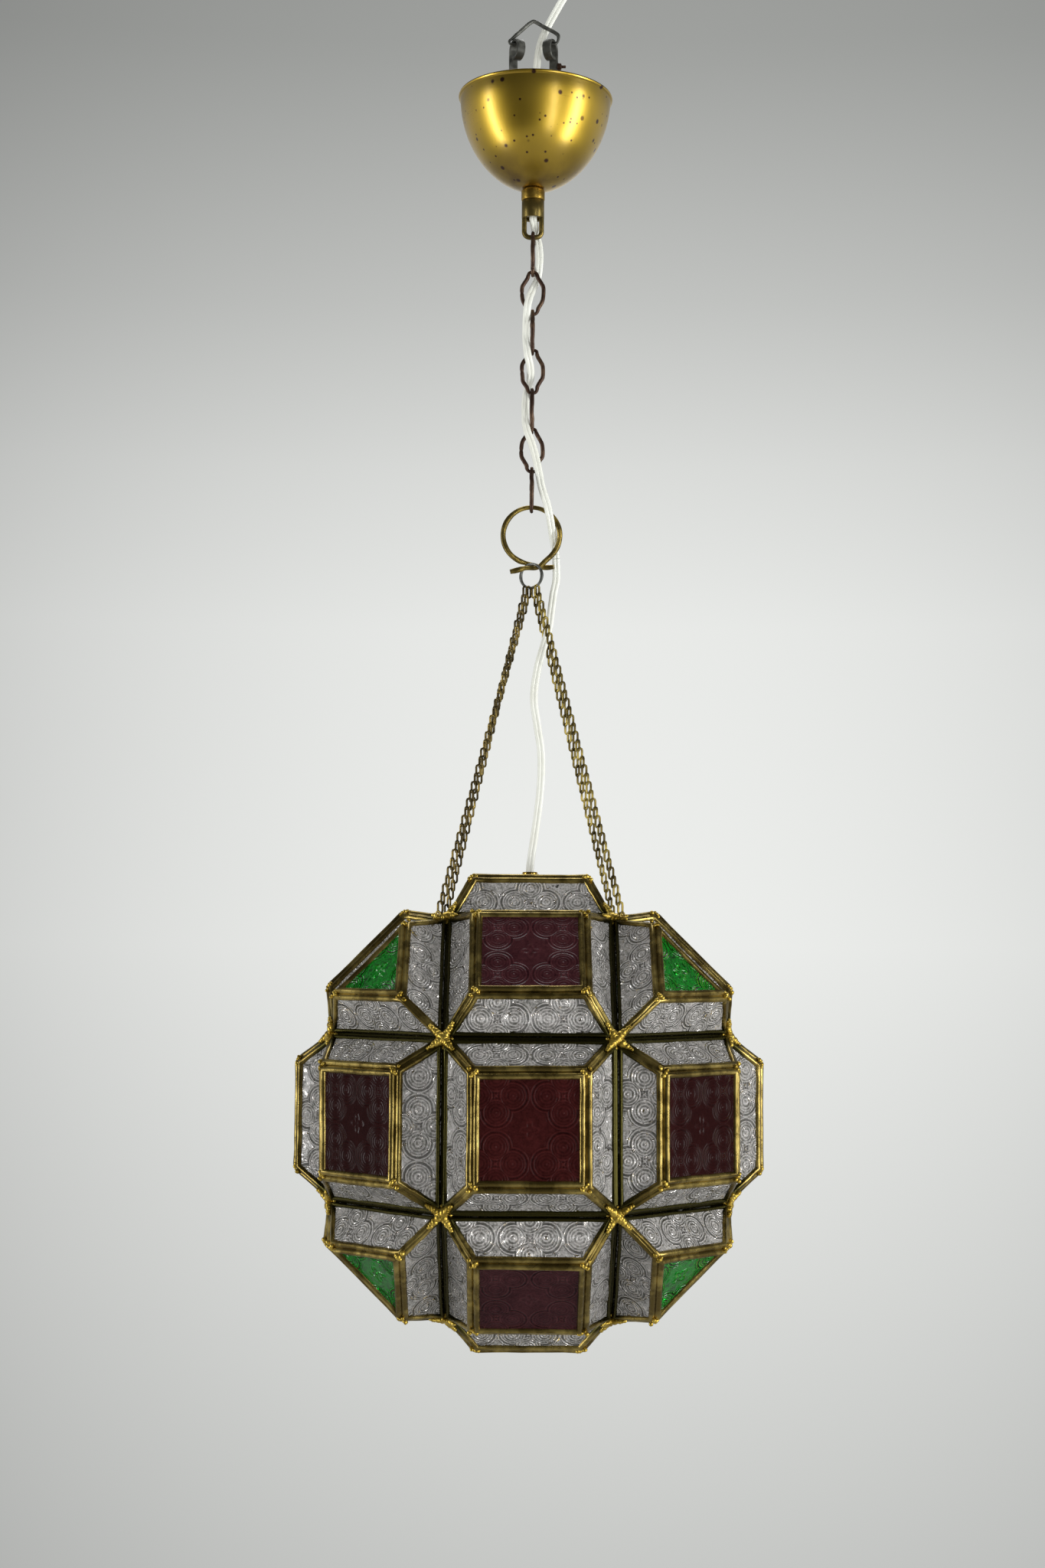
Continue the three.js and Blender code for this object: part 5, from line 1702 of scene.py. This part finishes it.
def bail_path():
    def half(way):
        low = 2 * way - 11   # the right side stays wide up to a higher place than the left
        return [(8.5, PIVOT_Z), (11.2, PIVOT_Z), (14.5, PIVOT_Z), (16.3, PIVOT_Z + 1.2 + 0.8 * way),
                (16.6, low), (14.2, low + 2.2), (8.3, 0.42 * low), (2.2, -0.1)]
    right = [(x, 0, z) for x, z in half(1)]
    left = [(-x, 0, z) for x, z in half(-1)]
    return smooth_path([*right, (0, 0, 0.9), *reversed(left)], 0.8)


path = bail_path()
thickness = 1.0 + 0.5 * np.clip((path[:, 2] - PIVOT_Z - 3) / 3, 0, 1)
put("bail_wire", wire_mesh("bail", path, BAIL_WIRE, thick=thickness), METALS["grey_steel"], "bail",
    ["ceiling_bail"])

# %% [markdown]
# Above the cup a strip of steel forks into two prongs that curl round the ends of the bail.
# A screw head sits beside the right prong.

# %% Hanger fork
FORK_THICKNESS, STRIP_EASE = 1.8, 0.35
PRONG_OFFSET, PRONG_WIDTH, WEB_WIDTH = 11.2, 6.0, 22
WEB_HEIGHT, WEB_SPREAD = 14, 1.29       # the web grows to this share of its width
LEAN_HEIGHT, TWIST_HEIGHT = 20, 26      # above the foot: where a prong is upright, and turns
CURL_START, CURL_END, CURL_STEPS = 0.25, 1.62 * math.pi, 22
PRONG_TURNS = {-1: math.radians(26), 1: math.radians(-24)}
EYE_RADIUS = 7.0
FORK_EYE_Z = PIVOT_Z - 4.0
FORK_FOOT_Z = SHOULDER_Z + 3.7
FORK_BACK_Y = 9.4


def strip(path, width, widths=None):
    """A flat strip that follows (y, z) points, with eased edges."""
    half, deep, ease = width / 2, FORK_THICKNESS / 2, STRIP_EASE
    outline = [(half, deep - ease), (half - ease, deep), (ease - half, deep), (-half, deep - ease),
               (-half, ease - deep), (ease - half, -deep), (half - ease, -deep), (half, ease - deep)]
    points = [np.array((0, y, z)) for y, z in path]
    scales = None if widths is None else [(w, 1.0) for w in widths]
    return swept(points, outline, (1, 0, 0), scales)


def prong(way):
    """From the shoulder up, leaning in over the nut, curled forwards into an eye and twisted."""
    middle = EYE_RADIUS - FORK_THICKNESS / 2
    back = FORK_BACK_Y + FORK_THICKNESS / 2
    lean = FORK_FOOT_Z + LEAN_HEIGHT
    climb = [(back, lean - 10), (back, lean - 8), (middle, lean),
             (middle, (lean + FORK_EYE_Z) / 2), (middle, FORK_EYE_Z)]
    curl = [(middle * math.cos(a), FORK_EYE_Z + middle * math.sin(a))
            for a in np.linspace(CURL_START, CURL_END, CURL_STEPS)]
    path = smooth_path([(0, y, z) for y, z in climb + curl], 0.8)[:, 1:]
    points, faces = strip(path, PRONG_WIDTH)
    low = FORK_FOOT_Z + TWIST_HEIGHT
    twisted = []
    for x, y, z in points:
        share = min(1.0, max(0.0, (z - low) / (FORK_EYE_Z - EYE_RADIUS - low)))
        turn = PRONG_TURNS[way] * share * share * (3 - 2 * share)
        twisted.append((way * PRONG_OFFSET + x * math.cos(turn) - y * math.sin(turn),
                        x * math.sin(turn) + y * math.cos(turn), z))
    return twisted, faces


def fork_shape():
    middle = FORK_THICKNESS / 2
    foot = strip([(y, FORK_FOOT_Z + middle) for y in np.linspace(-9, FORK_BACK_Y + 1.6, 12)], WEB_WIDTH)
    heights = np.linspace(FORK_FOOT_Z + 1, FORK_FOOT_Z + WEB_HEIGHT, 8)
    climb = [(FORK_BACK_Y + middle, z) for z in heights]
    web = strip(climb, WEB_WIDTH, np.linspace(1.0, WEB_SPREAD, 8))
    return gathered(foot, web, prong(-1), prong(1))


put("fork_strip", new_mesh("fork", *fork_shape()), METALS["grey_steel"], "cup",
    ["hanger_fork"])

along = [np.array((t, 0.0, 0.0)) for t in (0, 0.4, 2.2, 2.6, 3.0, 5.4, 5.8)]
knob = [(0.9, 0.9), (1.0, 1.0), (1.0, 1.0), (0.85, 0.85), (0.4, 0.4), (0.4, 0.4), (0.3, 0.3)]
SCREW_DIAMETER, SCREW_PLACE = 5.0, (16.2, 4.5, -29.0)
screw = moved(swept(along, circle(SCREW_DIAMETER), (0, 1, 0), knob), SCREW_PLACE)
put("fork_screw", new_mesh("screw", *screw), METALS["dark_bronze"], "cup")


# %% [markdown]
# The terminal block stays in its CAD node, as do the tube, the nut, the hinge pin and the
# lampholder, whose shapes need nothing more. They get their finishes here.


# %% Finishes of the CAD nodes that stay
def dress(node, finish):
    """Gives a CAD node a finish."""
    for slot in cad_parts[node].material_slots:
        slot.material = finish
    print("dressed", node)


dress("terminal_block", PLAIN["white_ceramic"])
dress("cup_tube", METALS["aged_brass"])
dress("cup_nut", METALS["grey_steel"])
dress("door_hinge_pin", METALS["bright_brass"])
dress("lampholder_cap", METALS["bright_brass"])
dress("lampholder_shell", PLAIN["black_resin"])

# %% [markdown]
# Tall soft lamps at both sides make the long highlights on the cup, and one above and
# behind lights the top.

# %% Lamps
LAMPS = (
    # name, azimuth and elevation from the object in degrees, distance, width, height, watts
    ("left lamp", -75, -17, 2.2, 0.26, 3.0, 32),
    ("right lamp", 29, -17, 2.4, 0.26, 3.0, 20),
    ("far right lamp", 68, -17, 2.2, 0.44, 3.0, 48),
    ("top lamp", 180, 62, 2.4, 1.6, 1.0, 20),
)
LIT_CENTRE = Vector((0, 0, -0.5))


def make_lamp(name, azimuth, elevation, distance, width, height, watts):
    data = bpy.data.lights.new(name, "AREA")
    data.shape = "RECTANGLE"
    data.size = width
    data.size_y = height
    data.energy = watts
    a, e = math.radians(azimuth), math.radians(elevation)
    way = Vector((math.sin(a) * math.cos(e), -math.cos(a) * math.cos(e), math.sin(e)))
    lamp = new_object(name, data)
    lamp.location = LIT_CENTRE + way * distance
    lamp.rotation_mode = "QUATERNION"
    lamp.rotation_quaternion = way.to_track_quat("Z", "Y")


for settings in LAMPS:
    make_lamp(*settings)
print(len(LAMPS), "lamps")

# %% [markdown]
# The studio is a pale room. What the camera, the metal and the glass see of it is a grey that
# darkens towards the ceiling, while a plainer grey lights the object.


# %% Room
def seen_by(nodes):
    """1 for rays that see the room: from the camera, off gloss, or through glass."""
    path = nodes.tree.nodes.new("ShaderNodeLightPath")
    kinds = ("Is Camera Ray", "Is Glossy Ray", "Is Transmission Ray")
    camera_ray, glossy, through = [Signal(nodes, path.outputs[kind]) for kind in kinds]
    return camera_ray.math("MAXIMUM", glossy).math("MAXIMUM", through)


def grey(level):
    return tint(level, level + 1.5, level - 1)[:3]


# Brightness of the backdrop by the height of the direction: 0 is straight down, 1 straight up
ROOM_STOPS = [
    (0.0, grey(150)), (0.36, grey(194)), (0.43, grey(218)), (0.5, grey(236)), (0.57, grey(232)),
    (0.605, grey(217)), (0.64, grey(192)), (0.69, grey(158)), (0.8, grey(120)), (1.0, grey(110)),
]
BEHIND_CAMERA = 0.15           # how much of that brightness is left on the camera's side
FRONT, BACK = -0.35, 0.3       # the depth of the direction where that side starts and ends
BRIGHTEST_X = 0.04             # the brightest direction, slightly to the right
SIDE_FALL, SIDE_LEAST = 3.4, 0.55
LIT_BY = (0.62, 0.62, 0.62, 1.0)


def make_room():
    world = bpy.data.worlds.new("room")
    world.use_nodes = True
    bpy.context.scene.world = world
    nodes = Nodes(world.node_tree)
    background = world.node_tree.nodes["Background"]
    way = nodes.add("ShaderNodeTexCoord", output=0)
    split = nodes.tree.nodes.new("ShaderNodeSeparateXYZ")
    nodes.plug(split.inputs[0], way)
    x, y, z = [Signal(nodes, output) for output in split.outputs]
    shown = nodes.add("ShaderNodeValToRGB", {"stops": ROOM_STOPS}, {0: z * 0.5 + 0.5})
    sideways = (x - BRIGHTEST_X) * (x - BRIGHTEST_X)
    shade = (1 - sideways * SIDE_FALL).math("MAXIMUM", SIDE_LEAST)
    front = nodes.add("ShaderNodeMapRange", None, {0: y, 1: FRONT, 2: BACK, 3: BEHIND_CAMERA, 4: 1.0})
    share = shade * front
    level = nodes.add("ShaderNodeCombineXYZ", None, {0: share, 1: share, 2: share})
    shown = nodes.add("ShaderNodeVectorMath", {"operation": "MULTIPLY"}, {0: shown, 1: level})
    colour = nodes.add("ShaderNodeMix", {"data_type": "RGBA"}, {
        0: seen_by(nodes), 6: LIT_BY, 7: shown,
    }, 2)
    nodes.plug(background.inputs["Color"], colour)


make_room()
print(len(ROOM_STOPS), "greys in the room")

# %% [markdown]
# The floor lies far below the lantern.

# %% Floor
FLOOR_Z, FLOOR_RADIUS = -1.62, 2.0


def make_floor():
    mesh = bpy.data.meshes.new("floor")
    work = bmesh.new()
    bmesh.ops.create_circle(work, cap_ends=True, segments=96, radius=FLOOR_RADIUS)
    bmesh.ops.translate(work, verts=work.verts, vec=(0, 0, FLOOR_Z))
    work.to_mesh(mesh)
    work.free()
    finish = Finish("floor", {"Roughness": 0.7})
    finish.feed("Base Color", finish.mix(finish.noise(3.0), (0.31, 0.31, 0.3, 1), (0.35, 0.35, 0.34, 1)))
    mesh.materials.append(finish.material)
    new_object("floor", mesh)


make_floor()
bpy.context.scene.view_settings.view_transform = "Standard"
print("floor at", FLOOR_Z, "m")
